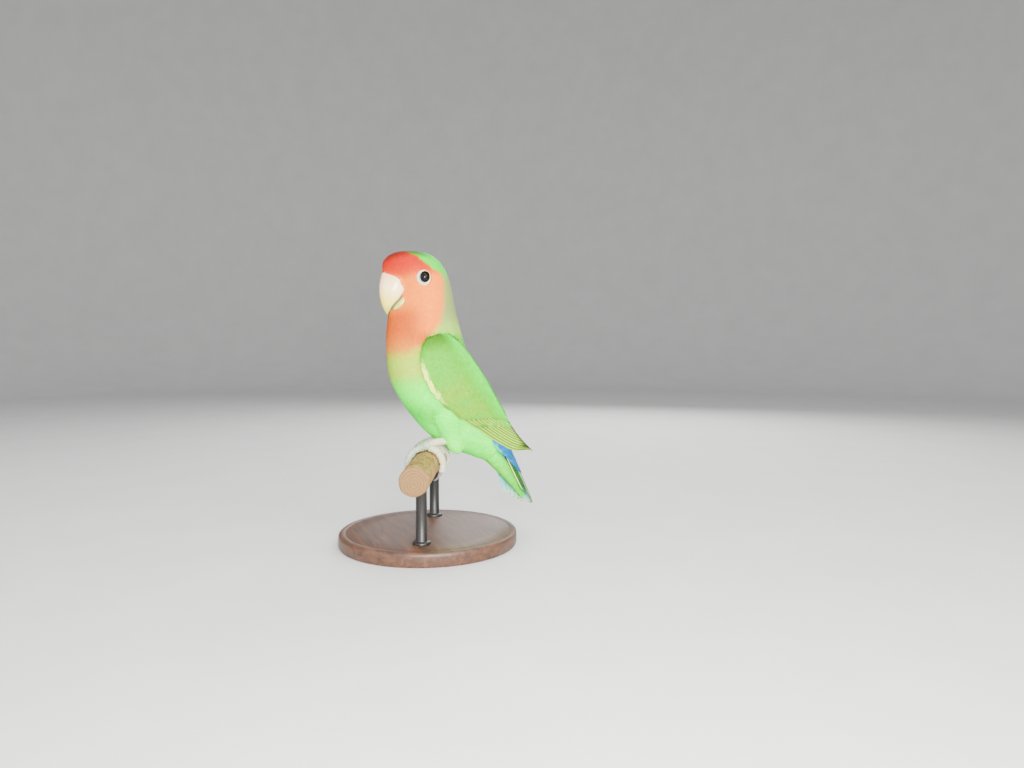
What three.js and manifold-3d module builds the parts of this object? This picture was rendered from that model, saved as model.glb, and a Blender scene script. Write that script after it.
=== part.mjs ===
// A peach-faced lovebird, life size, gripping a short length of dowel on a plain display stand.
// Millimetres, +Z up. The bird faces -Y and its left side is +X.
// The origin is the centre of the stand's underside.
import * as THREE from "three";
import { mergeVertices } from "three/addons/utils/BufferGeometryUtils.js";
import Module from "manifold-3d";

const wasm = await Module();
wasm.setup();

// General sizes
const GAP = 0.3; // clearance between neighbouring pieces
const LEFT = 1;
const RIGHT = -1;
const SIDES = [
  ["left", LEFT],
  ["right", RIGHT],
];

// Stand and perch
const BASE_RADIUS = 50;
const BASE_THICKNESS = 8;
const BASE_CHAMFER = 1.5;
const PERCH_RADIUS = 7.5;
const PERCH_HEIGHT = 46; // the dowel's axis above the floor
const PERCH_YAW = THREE.MathUtils.degToRad(-24); // the dowel's turn from the bird's side-to-side line
const PERCH_NEAR = 62; // length on the bird's left
const PERCH_FAR = 44; // length on the bird's right
const PERCH_CHAMFER = 0.8;
const ROD_RADIUS = 3;
const ROD_SPACING = 32; // each rod's distance from the bird's middle, along the dowel

// Head, neck and torso: sections from the crown down to the tail root.
// y and z place the centre, tilt is how many degrees the back of the section is raised,
// depth and width are the half sizes front to back and side to side,
// back_heavy is how much wider the section is behind its centre than before it,
// and pointed is how much it narrows towards its front.
const BODY = [
  { y: -9, z: 163.4, tilt: 0, depth: 0, width: 0, back_heavy: 0, pointed: 0 }, // crown
  { y: -9, z: 162.7, tilt: 0, depth: 7.4, width: 5.8, back_heavy: 0, pointed: 0 },
  { y: -8.9, z: 160.6, tilt: 0, depth: 12.5, width: 9.4, back_heavy: 0.04, pointed: 0 },
  { y: -8.2, z: 157, tilt: 0, depth: 15.8, width: 11.8, back_heavy: 0.1, pointed: 0.1 },
  { y: -7.1, z: 152, tilt: 0, depth: 17.8, width: 13, back_heavy: 0.16, pointed: 0.4 }, // brow
  { y: -5.3, z: 145.4, tilt: 1, depth: 18.1, width: 13.7, back_heavy: 0.18, pointed: 0.85 },
  { y: -3.9, z: 138, tilt: 2, depth: 18.1, width: 14.1, back_heavy: 0.14, pointed: 0.75 }, // cheek
  { y: -3.1, z: 130, tilt: 4, depth: 19, width: 14.4, back_heavy: 0.08, pointed: 0.25 }, // chin
  { y: -2.7, z: 122, tilt: 7, depth: 20.5, width: 15.4, back_heavy: 0.04, pointed: 0.08 },
  { y: -1.5, z: 112, tilt: 11, depth: 21.9, width: 17.2, back_heavy: 0, pointed: 0 }, // shoulders
  { y: 1, z: 100, tilt: 19, depth: 23.1, width: 18.4, back_heavy: -0.04, pointed: 0 }, // breast
  { y: 7.1, z: 87.6, tilt: 29, depth: 22.2, width: 18.4, back_heavy: -0.06, pointed: 0 },
  { y: 15, z: 75.6, tilt: 37, depth: 20.4, width: 17, back_heavy: -0.06, pointed: 0 }, // belly
  { y: 24.2, z: 65, tilt: 43, depth: 16.6, width: 13.6, back_heavy: -0.04, pointed: 0 }, // vent
  { y: 33, z: 56.6, tilt: 46, depth: 11.6, width: 10, back_heavy: 0, pointed: 0 }, // rump
  { y: 40.2, z: 50.4, tilt: 48, depth: 8, width: 7.4, back_heavy: 0, pointed: 0 }, // tail root
];
const HEAD_END = 7.2 / (BODY.length - 1); // where the head meets the neck, as a share of the sections
const NECK_END = 8.9 / (BODY.length - 1);
const BODY_SIDES = 22; // faces round a section

// Eye
const EYE = { x: 10.6, y: -4.7, z: 148.3, radius: 3.1 };
const EYE_TURN = THREE.MathUtils.degToRad(14); // how far the eye looks forward of sideways
const LID = { inner: 2.7, outer: 4.1, level: 2.15, proud: 0.7, sunk: 1.5 };

// Bill. Each section gives its centre, the lean of its ridge back from straight up,
// and its half depth and half width.
const UPPER_BILL = [
  { y: -15, z: 149.2, turn: 40, depth: 6, width: 6 },
  { y: -19.1, z: 145.7, turn: 46, depth: 7.5, width: 7.2 },
  { y: -21, z: 141.1, turn: 58, depth: 6.7, width: 6.6 },
  { y: -21.9, z: 137.2, turn: 68, depth: 5.2, width: 5.4 },
  { y: -22.5, z: 133.8, turn: 77, depth: 3.4, width: 3.7 },
  { y: -22.8, z: 131, turn: 88, depth: 1.7, width: 2 },
  { y: -22.7, z: 128.6, turn: 96, depth: 0.4, width: 0.5 },
];
const LOWER_BILL = [
  { y: -11.3, z: 138.9, turn: 34, depth: 3.8, width: 6.2 },
  { y: -14.4, z: 136.5, turn: 38, depth: 4.2, width: 7.1 },
  { y: -17.2, z: 133.7, turn: 44, depth: 4, width: 6.3 },
  { y: -19.4, z: 131.5, turn: 50, depth: 2.8, width: 4.6 },
  { y: -20.6, z: 130.6, turn: 58, depth: 0.9, width: 2.2 },
];
const BILL_SIDES = 12;
const NOSTRIL = { x: 2.1, y: -24.2, z: 149.2, radius: 0.65 };

// Folded wing of the left side, as two edges that run from the shoulder to the tip:
// the leading edge low on the flank, and the trailing edge beside the spine.
const LEADING_EDGE = [
  [16.4, -2.6, 116.6],
  [18.6, -7, 114.4],
  [20.4, -9.8, 108.6],
  [21.2, -9.8, 101],
  [21.6, -6.4, 91],
  [20.6, 1.8, 80.6],
  [17.8, 12.8, 72],
  [14, 25, 64.4],
  [10.2, 37, 56.8],
  [6.6, 49, 50.6],
  [3.6, 63.6, 46.8],
];
const TRAILING_EDGE = [
  [15.8, 2.2, 117.8],
  [14, 8.8, 116.8],
  [12.4, 14, 113.4],
  [10.8, 19.6, 108.4],
  [9, 26.4, 100],
  [7.8, 32.4, 91.4],
  [6.8, 37.8, 82.8],
  [6, 43, 74.2],
  [5.2, 48.2, 66],
  [4.4, 54.4, 58],
  [3.2, 63.8, 48.6],
];
const WING_BULGE = [1.2, 3, 4.6, 5.8, 6, 5.8, 4.8, 3.6, 2.4, 1.4, 0.4]; // swell between the edges
// The arm and its small coverts are one plate. Its hind end slants, and each share is one of the
// wing's length, given at the leading edge and at the trailing edge.
const ARM = { thickness: 2.3, end: [0.5, 0.6] };
// Tiers of coverts: where their tips and roots lie, how many there are, and their lift off the wing
const COVERT_TIERS = [
  { tip: [0.66, 0.82], root: [0.42, 0.5], count: 8, lift: 0.6, thickness: 0.5 },
  { tip: [0.52, 0.66], root: [0.34, 0.44], count: 7, lift: 0.85, thickness: 0.7 },
];
const COVERT_OVERLAP = 1.4; // a covert's width in shares of the distance to the next
// Flight feathers lie side by side like boards on a wall, each a step further from the wing's
// leading edge than the last, and each slopes down to pass under the next ones.
const PRIMARIES = { count: 10, step: 1.15 };
const SECONDARIES = { count: 6, step: 1.9 };
const FLIGHT = { overlap: 1.8, thickness: 0.65, drop: 0.42, root: 0.5, tip: 0.07 };

// Tail: feathers laid on an arched roof that runs back and down from its root
const TAIL = {
  root: [44.6, 61.6], // y, z of the ridge
  slope: THREE.MathUtils.degToRad(-65.5),
  half_width: 8.2,
  sag: 8.4, // how far the roof's eaves hang below its ridge
  open_by: 30, // distance from the root at which the roof has its full width
  roll: THREE.MathUtils.degToRad(16), // the bird's right side of the tail hangs lower
};
// Tail feathers of one side, from the ridge to the eaves. Edges are shares of the way down.
const TAIL_FEATHERS = {
  lengths: [49.6, 47.6, 45.2, 42.6, 40, 37.4],
  first_edge: 0.42,
  edge_step: 0.115,
  width: 0.22,
  thickness: 0.65,
  drop: 0.42,
};
// Coverts over the tail's root: tip distance, root distance and places across
const UPPER_COVERTS = [
  { tip: 29, root: 14, places: [-0.34, 0, 0.34], lift: 0.7 },
  { tip: 22, root: 7, places: [-0.6, -0.2, 0.2, 0.6], lift: 1.2 },
];
// Plume under the tail, from the vent to its tip: centre, half depth and half width
const UNDER_COVERTS = [
  { y: 33.2, z: 54, depth: 8.2, width: 6.8 },
  { y: 39.2, z: 47.6, depth: 6.4, width: 6.2 },
  { y: 44.8, z: 41, depth: 4.8, width: 5.2 },
  { y: 50, z: 34.2, depth: 3.6, width: 4.2 },
  { y: 54.8, z: 27.4, depth: 2.4, width: 3 },
  { y: 59, z: 21, depth: 0.7, width: 0.9 },
];
const UNDER_CORE_END = 0.8; // the plume's core stops here, and its feathers go on to the tip
// Feathers of the plume: roots and tips along it, and places round it in degrees from its underside
const UNDER_TIERS = [
  { root: 0.5, tip: 1, places: [-46, 0, 46] },
  { root: 0.3, tip: 0.78, places: [-66, -22, 22, 66] },
  { root: 0.1, tip: 0.54, places: [-50, 0, 50] },
];

// Legs and feet
const FOOT_SPREAD = 10.4; // each foot's distance from the bird's middle, along the dowel
const ANKLE = { left: [9.6, 7.6, 58.6], right: [-9.6, 14.6, 58.6] };
const THIGH = [
  // offset from the ankle (outward, back, up) and radius, down to the trailing feathers
  { out: 2.4, back: -3.6, up: 20.4, radius: 7.4 },
  { out: 2.6, back: -1, up: 13, radius: 7.2 },
  { out: 0.8, back: 2.4, up: 5, radius: 5.8 },
  { out: -0.4, back: 6, up: -1.6, radius: 3.8 },
  { out: -1, back: 9, up: -6.4, radius: 1 },
];
const TARSUS_RADIUS = 2.3;
const TOES = [
  // start and end are angles round the dowel, 0 behind it and 90 on top;
  // root and splay are how far along the dowel the toe starts and ends from the foot's middle
  { name: "front_inner", start: 100, end: 166, root: -2.15, splay: -3.5, radius: 1.85 },
  { name: "front_outer", start: 100, end: 188, root: 2.2, splay: 3.8, radius: 2.05 },
  { name: "hind_inner", start: 76, end: 22, root: -2.15, splay: -3.3, radius: 1.75 },
  { name: "hind_outer", start: 76, end: -22, root: 2.2, splay: 3.6, radius: 2 },
];
const TOE_SIDES = 9;
const CLAW = { length: 5.6, radius: 1.05, tip: 0.22, hook: 1.5 };

// Materials
const finish = (colour, roughness) =>
  new THREE.MeshStandardMaterial({ color: colour, roughness, metalness: 0 });
const MATERIALS = {
  green: finish(0x86c95a, 0.75),
  peach: finish(0xf0905c, 0.75),
  wing_green: finish(0x7cab48, 0.7),
  tail_green: finish(0x6fbf86, 0.7),
  rump_blue: finish(0x2fc4ea, 0.7),
  bill: finish(0xe9e2c4, 0.4),
  eye: finish(0x0c0b0a, 0.08),
  lid: finish(0xe8e6da, 0.6),
  leg: finish(0xaeb2a6, 0.7),
  claw: finish(0x6f6d64, 0.45),
  wood: finish(0xa97c4e, 0.7),
  stand_base: finish(0x4a3021, 0.5),
  stand_rod: finish(0x2b2a29, 0.4),
};

// Vectors, curves and solids
const vec = (x, y, z) => new THREE.Vector3(x, y, z);
const curveThrough = (points) =>
  new THREE.CatmullRomCurve3(points.map((p) => vec(...p)), false, "centripetal");

function interpolated(values) {
  const curve = curveThrough(values.map((value) => [value, 0, 0]));
  return (share) => curve.getPoint(share).x;
}

// A closed surface over rings of points that have the same count, with a fan over each end.
function skinOver(rings) {
  const count = rings[0].length;
  const points = rings.flat();
  const faces = [];
  for (let i = 0; i + 1 < rings.length; i++) {
    for (let j = 0; j < count; j++) {
      const a = i * count + j;
      const b = i * count + ((j + 1) % count);
      faces.push(a, b, b + count, a, b + count, a + count);
    }
  }
  const fan = (ring, offset, flip) => {
    const middle = ring.reduce((sum, p) => sum.add(p), vec(0, 0, 0)).divideScalar(count);
    points.push(middle);
    for (let j = 0; j < count; j++) {
      const a = offset + j;
      const b = offset + ((j + 1) % count);
      faces.push(points.length - 1, flip ? b : a, flip ? a : b);
    }
  };
  fan(rings[0], 0, true);
  fan(rings[rings.length - 1], (rings.length - 1) * count, false);
  const geometry = new THREE.BufferGeometry().setFromPoints(points);
  geometry.setIndex(faces);
  return geometry;
}

// A closed sheet between two grids of points, split into triangles alike on both faces.
function sheet(outer, inner) {
  const rows = outer.length;
  const columns = outer[0].length;
  const below = rows * columns;
  const at = (i, j) => i * columns + j;
  const faces = [];
  for (let i = 0; i + 1 < rows; i++) {
    for (let j = 0; j + 1 < columns; j++) {
      const [a, b, c, d] = [at(i, j), at(i, j + 1), at(i + 1, j + 1), at(i + 1, j)];
      faces.push(a, b, c, a, c, d);
      faces.push(below + a, below + c, below + b, below + a, below + d, below + c);
    }
  }
  const rim = [];
  for (let j = 0; j < columns; j++) rim.push(at(0, j));
  for (let i = 1; i < rows; i++) rim.push(at(i, columns - 1));
  for (let j = columns - 2; j >= 0; j--) rim.push(at(rows - 1, j));
  for (let i = rows - 2; i > 0; i--) rim.push(at(i, 0));
  rim.forEach((p, k) => {
    const q = rim[(k + 1) % rim.length];
    faces.push(q, p, below + p, q, below + p, below + q);
  });
  const geometry = new THREE.BufferGeometry().setFromPoints([...outer.flat(), ...inner.flat()]);
  geometry.setIndex(faces);
  return geometry;
}

// A three.js geometry as a solid that can be joined and cut, whichever way its faces were wound.
function solid(geometry, matrix = new THREE.Matrix4()) {
  const bare = geometry.clone().applyMatrix4(matrix);
  bare.deleteAttribute("normal");
  bare.deleteAttribute("uv");
  const merged = mergeVertices(bare, 1e-4);
  const corners = Array.from(merged.index.array);
  const triangles = [];
  for (let i = 0; i < corners.length; i += 3) {
    const [a, b, c] = corners.slice(i, i + 3);
    if (a !== b && b !== c && c !== a) triangles.push(a, b, c);
  }
  const make = (order) =>
    new wasm.Manifold(
      new wasm.Mesh({
        numProp: 3,
        vertProperties: merged.attributes.position.array,
        triVerts: new Uint32Array(order),
      }),
    );
  const made = make(triangles);
  if (made.volume() >= 0) return made;
  const flipped = [];
  for (let i = 0; i < triangles.length; i += 3) {
    flipped.push(triangles[i], triangles[i + 2], triangles[i + 1]);
  }
  return make(flipped);
}

const union = (pieces) => pieces.reduce((sum, piece) => sum.add(piece));

// The largest closed body of a solid.
function largest(made) {
  return made.decompose().reduce((best, body) => (body.volume() > best.volume() ? body : best));
}

const model = new THREE.Group();

// Adds a solid to the model as a named mesh.
function addNode(name, made, material) {
  const mesh = largest(made).getMesh();
  const geometry = new THREE.BufferGeometry();
  const positions = new Float32Array(mesh.vertProperties);
  geometry.setAttribute("position", new THREE.BufferAttribute(positions, 3));
  geometry.setIndex(new THREE.BufferAttribute(new Uint32Array(mesh.triVerts), 1));
  geometry.computeVertexNormals();
  const node = new THREE.Mesh(geometry, MATERIALS[material]);
  node.name = name;
  model.add(node);
}

// Head, neck and torso
const bodySpine = curveThrough(BODY.map((s) => [0, s.y, s.z]));
const bodyTilt = interpolated(BODY.map((s) => s.tilt));
const bodyDepth = interpolated(BODY.map((s) => s.depth));
const bodyWidth = interpolated(BODY.map((s) => s.width));
const bodyBackHeavy = interpolated(BODY.map((s) => s.back_heavy));
const bodyPointed = interpolated(BODY.map((s) => s.pointed));

function bodyRing(share, grow) {
  const centre = bodySpine.getPoint(share);
  const tilt = THREE.MathUtils.degToRad(bodyTilt(share));
  const back = vec(0, Math.cos(tilt), Math.sin(tilt)); // towards the bird's back
  const depth = Math.max(bodyDepth(share), 0) + grow;
  const width = Math.max(bodyWidth(share), 0) + grow;
  return Array.from({ length: BODY_SIDES }, (_, j) => {
    const angle = (2 * Math.PI * j) / BODY_SIDES;
    const backward = -Math.cos(angle);
    const forward = Math.max(-backward, 0);
    const taper = 1 + bodyBackHeavy(share) * backward - bodyPointed(share) * forward ** 2;
    const sideways = Math.sin(angle) * taper * width;
    return vec(sideways, 0, 0).addScaledVector(back, backward * depth).add(centre);
  });
}

// The body between two shares of its sections, each side grown by a clearance.
function bodyBetween(start, end, steps, grow = 0) {
  const rings = Array.from({ length: steps + 1 }, (_, i) =>
    bodyRing(start + ((end - start) * i) / steps, grow),
  );
  return solid(skinOver(rings));
}

const spineLength = bodySpine.getLength();
const halfGap = GAP / 2 / spineLength;
const wholeBody = (grow) => bodyBetween(grow ? 0.004 : 0, 1, 25, grow);

// Eyes and lids
function eyeFrame(side) {
  const turn = side === LEFT ? -EYE_TURN : Math.PI + EYE_TURN;
  const frame = new THREE.Matrix4().makeRotationZ(turn);
  frame.multiply(new THREE.Matrix4().makeRotationY(Math.PI / 2)); // the eye's axis becomes local z
  frame.setPosition(side * EYE.x, EYE.y, EYE.z);
  return frame;
}

function eyeball(side, grow = 0) {
  return solid(new THREE.SphereGeometry(EYE.radius + grow, 14, 9), eyeFrame(side));
}

// A solid turned about the eye's axis, from a profile of radii and heights above its centre.
function turnedAtEye(side, profile, sides) {
  const points = profile.map(([radius, height]) => new THREE.Vector2(radius, height));
  const upright = new THREE.Matrix4().makeRotationX(Math.PI / 2); // a lathe turns about y
  return solid(new THREE.LatheGeometry(points, sides), eyeFrame(side).multiply(upright));
}

// The bare ring of lids round the eye.
function lidRing(side) {
  const profile = [
    [LID.inner, LID.level - LID.sunk],
    [LID.outer, LID.level - LID.sunk],
    [LID.outer, LID.level - 0.35],
    [(LID.inner + LID.outer) / 2 + 0.35, LID.level + LID.proud * 0.75],
    [LID.inner + 0.35, LID.level + LID.proud],
    [LID.inner, LID.level + 0.2],
  ];
  return turnedAtEye(side, [...profile, profile[0]], 16);
}

// The hollow in the head that the eye and its lids sit in.
function socket(side) {
  const floor = -EYE.radius * 0.62;
  const rim = LID.outer + GAP;
  const profile = [
    [0, -EYE.radius - GAP],
    [EYE.radius * 0.8, floor - GAP],
    [EYE.radius + GAP, 0],
    [EYE.radius + GAP, LID.level - LID.sunk - GAP],
    [rim, LID.level - LID.sunk - GAP],
    [rim, LID.level + 4],
    [0, LID.level + 4],
  ];
  return turnedAtEye(side, profile, 14);
}

// Bill
function billRing(section, grow, flatness) {
  const turn = THREE.MathUtils.degToRad(section.turn);
  const outward = vec(0, -Math.sin(turn), Math.cos(turn)); // towards the ridge
  const centre = vec(0, section.y, section.z);
  return Array.from({ length: BILL_SIDES }, (_, j) => {
    const angle = (2 * Math.PI * (j + 0.5)) / BILL_SIDES;
    const rise = Math.cos(angle);
    const flattened = rise < 0 ? -flatness * Math.abs(rise) ** 0.4 : rise;
    const full = Math.sign(Math.sin(angle)) * Math.abs(Math.sin(angle)) ** (rise < 0 ? 0.4 : 1);
    const spread = full * (1 - 0.22 * Math.max(rise, 0));
    return vec(spread * (section.width + grow), 0, 0)
      .addScaledVector(outward, flattened * (section.depth + grow))
      .add(centre);
  });
}

function bill(sections, flatness, grow = 0) {
  const keys = ["y", "z", "turn", "depth", "width"];
  const reads = keys.map((key) => interpolated(sections.map((s) => s[key])));
  const steps = Math.round((sections.length - 1) * 1.5);
  const rings = Array.from({ length: steps + 1 }, (_, i) => {
    const values = reads.map((read) => read(i / steps));
    const section = Object.fromEntries(keys.map((key, k) => [key, values[k]]));
    return billRing(section, grow, flatness);
  });
  return solid(skinOver(rings));
}

const upperBill = (grow) => bill(UPPER_BILL, 0.86, grow);
const lowerBill = (grow) => bill(LOWER_BILL, 0.9, grow);

function nostrils() {
  const ball = new THREE.SphereGeometry(NOSTRIL.radius, 10, 8);
  return union(
    SIDES.map(([, side]) =>
      solid(ball, new THREE.Matrix4().makeTranslation(side * NOSTRIL.x, NOSTRIL.y, NOSTRIL.z)),
    ),
  );
}

function addHead() {
  const gapEnd = HEAD_END - halfGap;
  let head = bodyBetween(0, gapEnd, 13);
  const cutters = [upperBill(GAP), lowerBill(GAP)];
  SIDES.forEach(([, side]) => cutters.push(socket(side)));
  head = head.subtract(union(cutters));
  addNode("head", head, "peach");
  SIDES.forEach(([name, side]) => {
    addNode("eye_" + name, eyeball(side), "eye");
    addNode("eye_ring_" + name, lidRing(side).subtract(eyeball(side, GAP)), "lid");
  });
  addNode("upper_bill", upperBill(0).subtract(nostrils()), "bill");
  addNode("lower_bill", lowerBill(0).subtract(upperBill(GAP)), "bill");
}

// Wings
const leadingEdge = curveThrough(LEADING_EDGE);
const trailingEdge = curveThrough(TRAILING_EDGE);
const wingBulge = interpolated(WING_BULGE);

// A point of the left wing's outer face: along 0 at the shoulder to 1 at the tip,
// across 0 at the leading edge to 1 at the trailing edge, raised outward by height.
function wingPoint(along, across, height = 0) {
  const at = (s, v) => {
    const low = leadingEdge.getPoint(s);
    const high = trailingEdge.getPoint(s);
    const step = high.clone().sub(low);
    const forward = leadingEdge.getTangent(s).add(trailingEdge.getTangent(s));
    const outward = forward.clone().cross(step).normalize();
    if (outward.x < 0) outward.negate();
    return low.addScaledVector(step, v).addScaledVector(outward, wingBulge(s) * 4 * v * (1 - v));
  };
  const here = at(along, across);
  if (height === 0) return here;
  const reach = 0.01;
  const a = at(Math.min(along + reach, 1), across).sub(at(Math.max(along - reach, 0), across));
  const b = at(along, across + reach).sub(at(along, across - reach));
  const normal = a.cross(b).normalize();
  if (normal.x < 0) normal.negate();
  return here.addScaledVector(normal, height);
}

const wingSpan = (along) => leadingEdge.getPoint(along).distanceTo(trailingEdge.getPoint(along));
const slanted = ([low, high], across) => low + (high - low) * across;

// The left wing's arm with its small coverts.
function armPlate(grow = 0) {
  const steps = 8;
  const columns = 4;
  const outer = [];
  const inner = [];
  for (let i = 0; i <= steps; i++) {
    outer.push([]);
    inner.push([]);
    for (let j = 0; j <= columns; j++) {
      const share = j / columns;
      const along = (i / steps) * (slanted(ARM.end, share) + grow * 0.01);
      const margin = grow / wingSpan(along);
      const across = -margin + (1 + 2 * margin) * share;
      const swell = Math.sin(Math.PI * Math.min(Math.max(share, 0.08), 0.92));
      const taper = Math.min(1, 0.35 + along * 6);
      const depth = ARM.thickness * taper * (0.4 + 0.6 * swell);
      outer[i].push(wingPoint(along, across, grow));
      inner[i].push(wingPoint(along, across, -depth - grow));
    }
  }
  return solid(sheet(outer, inner));
}

// Half width of a rounded feather at a share of its length from root to tip.
function feathered(share) {
  const root = 0.45 + 0.55 * Math.min(1, share * 3);
  return root * Math.sqrt(Math.max(1 - Math.max(0, (share - 0.62) / 0.4) ** 2, 0.04));
}

const VANE_STATIONS = [0, 0.7, 1];

// The coverts of one tier of the left wing. Each lies over the next one towards the leading edge.
function covertTier(tier, grow = 0) {
  const pitch = 1 / tier.count;
  return Array.from({ length: tier.count }, (_, k) => {
    const middle = (k + 0.5) * pitch;
    const outer = [];
    const inner = [];
    VANE_STATIONS.forEach((share) => {
      const along = slanted(tier.root, middle) * (1 - share) + slanted(tier.tip, middle) * share;
      const half = (feathered(share) * pitch * COVERT_OVERLAP) / 2 + grow / wingSpan(along);
      const reach = share === 1 ? grow * 0.012 : 0;
      const lift = tier.lift * share ** 0.7 - 0.35;
      const row = [-1, 0, 1].map((u) => {
        const across = Math.min(Math.max(middle + u * half, 0), 1);
        const tilt = lift - 0.22 * (1 + u) + 0.1 * (1 - u * u) + grow;
        return [along + reach, across, tilt];
      });
      outer.push(row.map(([x, y, h]) => wingPoint(x, y, h)));
      inner.push(row.map(([x, y, h]) => wingPoint(x, y, h - tier.thickness - 2 * grow)));
    });
    return solid(sheet(outer, inner));
  });
}

function wingCoverts(grow = 0) {
  return union([armPlate(grow), ...COVERT_TIERS.flatMap((tier) => covertTier(tier, grow))]);
}

// One flight feather of the left wing. Its lower edge runs a fixed distance from the leading edge
// until the wing is that narrow, and then its tip bends in and runs on along the trailing edge.
function flightVane(distance, overlap, drop) {
  let bend = 1 - FLIGHT.tip;
  while (bend > 0.5 && wingSpan(bend) < distance + 1.2) bend -= 0.004;
  const tip = bend + FLIGHT.tip;
  const outer = [];
  const inner = [];
  [FLIGHT.root, (FLIGHT.root + bend) / 2, bend - 0.02, tip].forEach((along, station) => {
    const span = wingSpan(along);
    const upper = Math.min(distance + overlap, span);
    const lower = station === 3 ? Math.max(span - 0.3, 0) : Math.min(distance, span - 0.8);
    const shed = drop * ((upper - lower) / overlap);
    const row = [
      [lower, 0.12],
      [upper, 0.12 - shed],
    ];
    outer.push(row.map(([mm, h]) => wingPoint(along, mm / span, h)));
    inner.push(row.map(([mm, h]) => wingPoint(along, mm / span, h - FLIGHT.thickness)));
  });
  return solid(sheet(outer, inner));
}

function flightFeathers() {
  const vanes = [];
  const add = (distance, step, last) => {
    const overlap = step * FLIGHT.overlap;
    vanes.push(flightVane(distance, overlap, last ? 0.3 : FLIGHT.drop * FLIGHT.overlap));
  };
  for (let k = 0; k < PRIMARIES.count; k++) add(k * PRIMARIES.step, PRIMARIES.step, false);
  const start = PRIMARIES.count * PRIMARIES.step;
  for (let k = 0; k < SECONDARIES.count; k++) {
    add(start + k * SECONDARIES.step, SECONDARIES.step, k === SECONDARIES.count - 1);
  }
  return union(vanes);
}

const onSide = (made, side) => (side === LEFT ? made : made.mirror([1, 0, 0]));

function addWings() {
  const body = wholeBody(GAP);
  const coverts = wingCoverts().subtract(body);
  const flight = flightFeathers().subtract(wingCoverts(GAP)).subtract(body);
  SIDES.forEach(([name, side]) => {
    addNode("wing_coverts_" + name, onSide(largest(coverts), side), "wing_green");
    addNode("wing_flight_" + name, onSide(largest(flight), side), "wing_green");
  });
}

// Everything that the left wing fills, with a clearance, for cutting what it lies on.
const wingBulk = () => union([wingCoverts(GAP), flightBulk()]);

function flightBulk() {
  const outer = [];
  const inner = [];
  for (let i = 0; i <= 8; i++) {
    const along = FLIGHT.root + (1 - FLIGHT.root) * (i / 8);
    const margin = GAP / wingSpan(along);
    const across = [-margin, 0.33, 0.67, 1 + margin];
    outer.push(across.map((v) => wingPoint(along, v, GAP + 0.2)));
    inner.push(across.map((v) => wingPoint(along, v, -2.2)));
  }
  return solid(sheet(outer, inner));
}

// Tail
const tailAlong = vec(0, Math.cos(TAIL.slope), Math.sin(TAIL.slope));
const tailUp = vec(0, -Math.sin(TAIL.slope), Math.cos(TAIL.slope));

// A point of the tail's arched roof: distance from the root, across -1 to 1, raised by height.
function tailPoint(distance, across, height = 0) {
  const opening = Math.min(1, Math.max(distance, 0) / TAIL.open_by);
  const open = 0.62 + 0.38 * opening;
  const arch = (Math.PI / 2) * across;
  const aside = Math.sin(arch) * (TAIL.half_width * open + height);
  const rise = (Math.cos(arch) - 1) * TAIL.sag * open + height * Math.cos(arch) + TAIL.sag / 2;
  const roll = TAIL.roll * opening;
  return vec(aside * Math.cos(roll) - rise * Math.sin(roll), TAIL.root[0], TAIL.root[1])
    .addScaledVector(tailAlong, distance)
    .addScaledVector(tailUp, rise * Math.cos(roll) + aside * Math.sin(roll) - TAIL.sag / 2);
}

// A feather of the tail's roof between two edges, given as shares across.
function roofVane(length, inner, outer, innerHeight, outerHeight) {
  const above = [];
  const below = [];
  [0, 0.5, 0.86, 1].forEach((share) => {
    const rounding = Math.max(0, (share - 0.78) / 0.22) ** 2;
    const middle = inner * outer < 0 ? 0 : inner * 0.6 + outer * 0.4;
    const near = inner + (middle - inner) * 0.8 * rounding;
    const far = outer + (middle - outer) * 0.8 * rounding;
    const row = [
      [near, innerHeight],
      [far, outerHeight],
    ];
    const distance = length * share;
    above.push(row.map(([across, height]) => tailPoint(distance, across, height)));
    below.push(
      row.map(([across, height]) => tailPoint(distance, across, height - TAIL_FEATHERS.thickness)),
    );
  });
  return solid(sheet(above, below));
}

function tailFeathers() {
  const { lengths, first_edge: firstEdge, edge_step: step, width, drop } = TAIL_FEATHERS;
  const vanes = [];
  SIDES.forEach(([, side]) => {
    lengths.forEach((length, k) => {
      const edge = firstEdge + k * step;
      if (k === 0) {
        const ridge = side === LEFT ? 0.2 : -0.15;
        vanes.push(roofVane(length, side * -0.14, side * edge, ridge, 0.05));
      } else {
        const sunk = 0.05 - (drop * width) / step;
        vanes.push(roofVane(length, side * (edge - width), side * edge, sunk, 0.05));
      }
    });
  });
  return union(vanes);
}

// Everything between the roof and a surface under it, for cutting what lies beneath.
function tailBulk(grow) {
  const rings = [-8, 6, 20, 34, 52].map((distance) => {
    const outer = [];
    const inner = [];
    for (let j = 0; j <= 8; j++) {
      const across = (-1 + (2 * j) / 8) * (1 + grow / 10);
      outer.push(tailPoint(distance, across, 3));
      inner.unshift(tailPoint(distance, across, -TAIL_FEATHERS.thickness - 1.3 - grow));
    }
    return outer.concat(inner);
  });
  return solid(skinOver(rings));
}

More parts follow.
